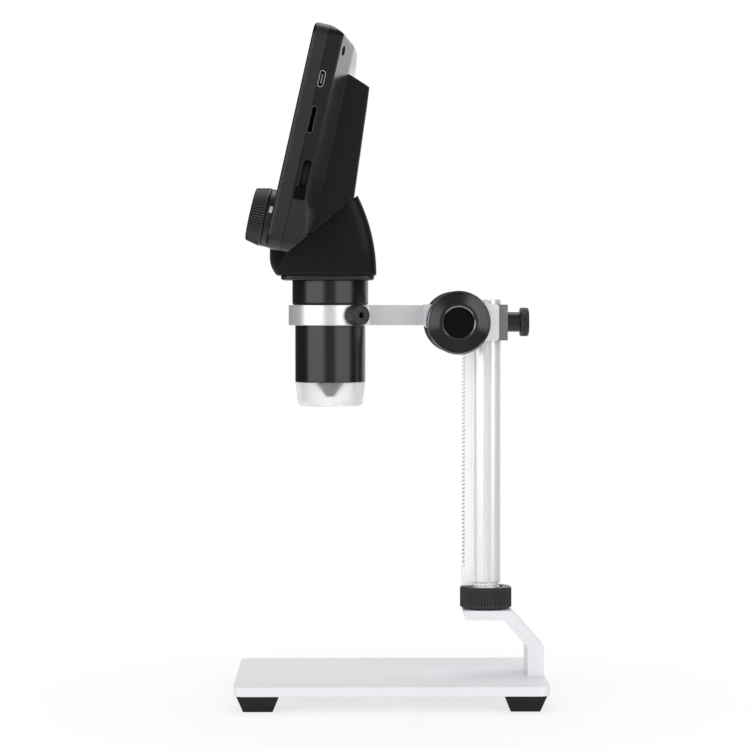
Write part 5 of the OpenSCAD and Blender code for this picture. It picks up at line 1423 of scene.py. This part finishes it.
class MICROSCOPE_OT_lock_ring(bpy.types.Operator):
    """Makes the ring that locks the column"""

    bl_idname, bl_label, bl_options = "microscope.lock_ring", "Lock ring", {"REGISTER", "UNDO"}

    def execute(self, context):
        make_lock_ring()
        return {"FINISHED"}


class MICROSCOPE_OT_carriage(bpy.types.Operator):
    """Makes the sliding block and its clamp"""

    bl_idname, bl_label, bl_options = "microscope.carriage", "Carriage", {"REGISTER", "UNDO"}

    def execute(self, context):
        make_carriage()
        return {"FINISHED"}


class MICROSCOPE_OT_lock_screw(bpy.types.Operator):
    """Makes the screw that locks the carriage"""

    bl_idname, bl_label, bl_options = "microscope.lock_screw", "Lock screw", {"REGISTER", "UNDO"}

    def execute(self, context):
        make_lock_screw()
        return {"FINISHED"}


class MICROSCOPE_OT_knobs(bpy.types.Operator):
    """Makes the stand's two focus knobs"""

    bl_idname, bl_label, bl_options = "microscope.knobs", "Knobs", {"REGISTER", "UNDO"}

    def execute(self, context):
        make_knobs()
        return {"FINISHED"}


class MICROSCOPE_OT_arm(bpy.types.Operator):
    """Makes the arm and its ring"""

    bl_idname, bl_label, bl_options = "microscope.arm", "Arm", {"REGISTER", "UNDO"}

    def execute(self, context):
        make_arm()
        return {"FINISHED"}


class MICROSCOPE_OT_ring_screw(bpy.types.Operator):
    """Makes the thumb screw on the arm's ring"""

    bl_idname, bl_label, bl_options = "microscope.ring_screw", "Ring screw", {"REGISTER", "UNDO"}

    def execute(self, context):
        make_ring_screw()
        return {"FINISHED"}


class MICROSCOPE_OT_barrel(bpy.types.Operator):
    """Makes the barrel and its collar"""

    bl_idname, bl_label, bl_options = "microscope.barrel", "Barrel", {"REGISTER", "UNDO"}

    def execute(self, context):
        make_barrel()
        return {"FINISHED"}


class MICROSCOPE_OT_shade(bpy.types.Operator):
    """Makes the clear shade, the lens nose and the lens"""

    bl_idname, bl_label, bl_options = "microscope.shade", "Lamp shade", {"REGISTER", "UNDO"}

    def execute(self, context):
        make_shade()
        return {"FINISHED"}


class MICROSCOPE_OT_neck(bpy.types.Operator):
    """Makes the neck and its plate"""

    bl_idname, bl_label, bl_options = "microscope.neck", "Neck", {"REGISTER", "UNDO"}

    def execute(self, context):
        make_neck()
        return {"FINISHED"}


class MICROSCOPE_OT_back(bpy.types.Operator):
    """Makes the back shell, the battery case and its cover"""

    bl_idname, bl_label, bl_options = "microscope.back", "Back of the head", {"REGISTER", "UNDO"}

    def execute(self, context):
        make_back()
        return {"FINISHED"}


class MICROSCOPE_OT_front(bpy.types.Operator):
    """Makes the front shell, the panel and the screen"""

    bl_idname, bl_label, bl_options = "microscope.front", "Front of the head", {"REGISTER", "UNDO"}

    def execute(self, context):
        make_front()
        return {"FINISHED"}


class MICROSCOPE_OT_keys(bpy.types.Operator):
    """Makes the six keys"""

    bl_idname, bl_label, bl_options = "microscope.keys", "Keys", {"REGISTER", "UNDO"}

    def execute(self, context):
        make_keys()
        return {"FINISHED"}


class MICROSCOPE_OT_wheel(bpy.types.Operator):
    """Makes the focus wheel and dresses its shaft"""

    bl_idname, bl_label, bl_options = "microscope.wheel", "Focus wheel", {"REGISTER", "UNDO"}

    def execute(self, context):
        make_wheel()
        return {"FINISHED"}


class MICROSCOPE_OT_sockets(bpy.types.Operator):
    """Makes the two sockets, the dimmer's dial and the index mark"""

    bl_idname, bl_label, bl_options = "microscope.sockets", "Sockets", {"REGISTER", "UNDO"}

    def execute(self, context):
        make_sockets()
        return {"FINISHED"}


class MICROSCOPE_OT_inside(bpy.types.Operator):
    """Dresses the pieces inside the head"""

    bl_idname, bl_label, bl_options = "microscope.inside", "Inside", {"REGISTER", "UNDO"}

    def execute(self, context):
        dress_inside()
        return {"FINISHED"}


class MICROSCOPE_OT_stage(bpy.types.Operator):
    """Makes the floor, the light and the camera"""

    bl_idname, bl_label, bl_options = "microscope.stage", "Stage", {"REGISTER", "UNDO"}

    def execute(self, context):
        make_stage()
        return {"FINISHED"}


OPERATORS = [
    MICROSCOPE_OT_finishes,
    MICROSCOPE_OT_base,
    MICROSCOPE_OT_column,
    MICROSCOPE_OT_lock_ring,
    MICROSCOPE_OT_carriage,
    MICROSCOPE_OT_lock_screw,
    MICROSCOPE_OT_knobs,
    MICROSCOPE_OT_arm,
    MICROSCOPE_OT_ring_screw,
    MICROSCOPE_OT_barrel,
    MICROSCOPE_OT_shade,
    MICROSCOPE_OT_neck,
    MICROSCOPE_OT_back,
    MICROSCOPE_OT_front,
    MICROSCOPE_OT_keys,
    MICROSCOPE_OT_wheel,
    MICROSCOPE_OT_sockets,
    MICROSCOPE_OT_inside,
    MICROSCOPE_OT_stage,
]


class MICROSCOPE_PT_panel(bpy.types.Panel):
    """Sizes, colours and the steps that make the microscope."""

    bl_label, bl_idname = "Microscope", "MICROSCOPE_PT_panel"
    bl_space_type, bl_region_type, bl_category = "VIEW_3D", "UI", "Microscope"

    def draw(self, context):
        for group in (context.scene.microscope_sizes, context.scene.microscope_colours):
            for name in group.bl_rna.properties.keys():
                if name not in ("rna_type", "name"):
                    self.layout.prop(group, name)
        for kind in OPERATORS:
            self.layout.operator(kind.bl_idname)


CLASSES = [MicroscopeSizes, MicroscopeColours, *OPERATORS, MICROSCOPE_PT_panel]


def register():
    for kind in CLASSES:
        bpy.utils.register_class(kind)
    bpy.types.Scene.microscope_sizes = bpy.props.PointerProperty(type=MicroscopeSizes)
    bpy.types.Scene.microscope_colours = bpy.props.PointerProperty(type=MicroscopeColours)


def unregister():
    del bpy.types.Scene.microscope_sizes, bpy.types.Scene.microscope_colours
    for kind in reversed(CLASSES):
        bpy.utils.unregister_class(kind)


def main():
    register()
    for kind in OPERATORS:
        getattr(bpy.ops.microscope, kind.bl_idname.split(".")[1])()


if __name__ == "__main__":
    main()
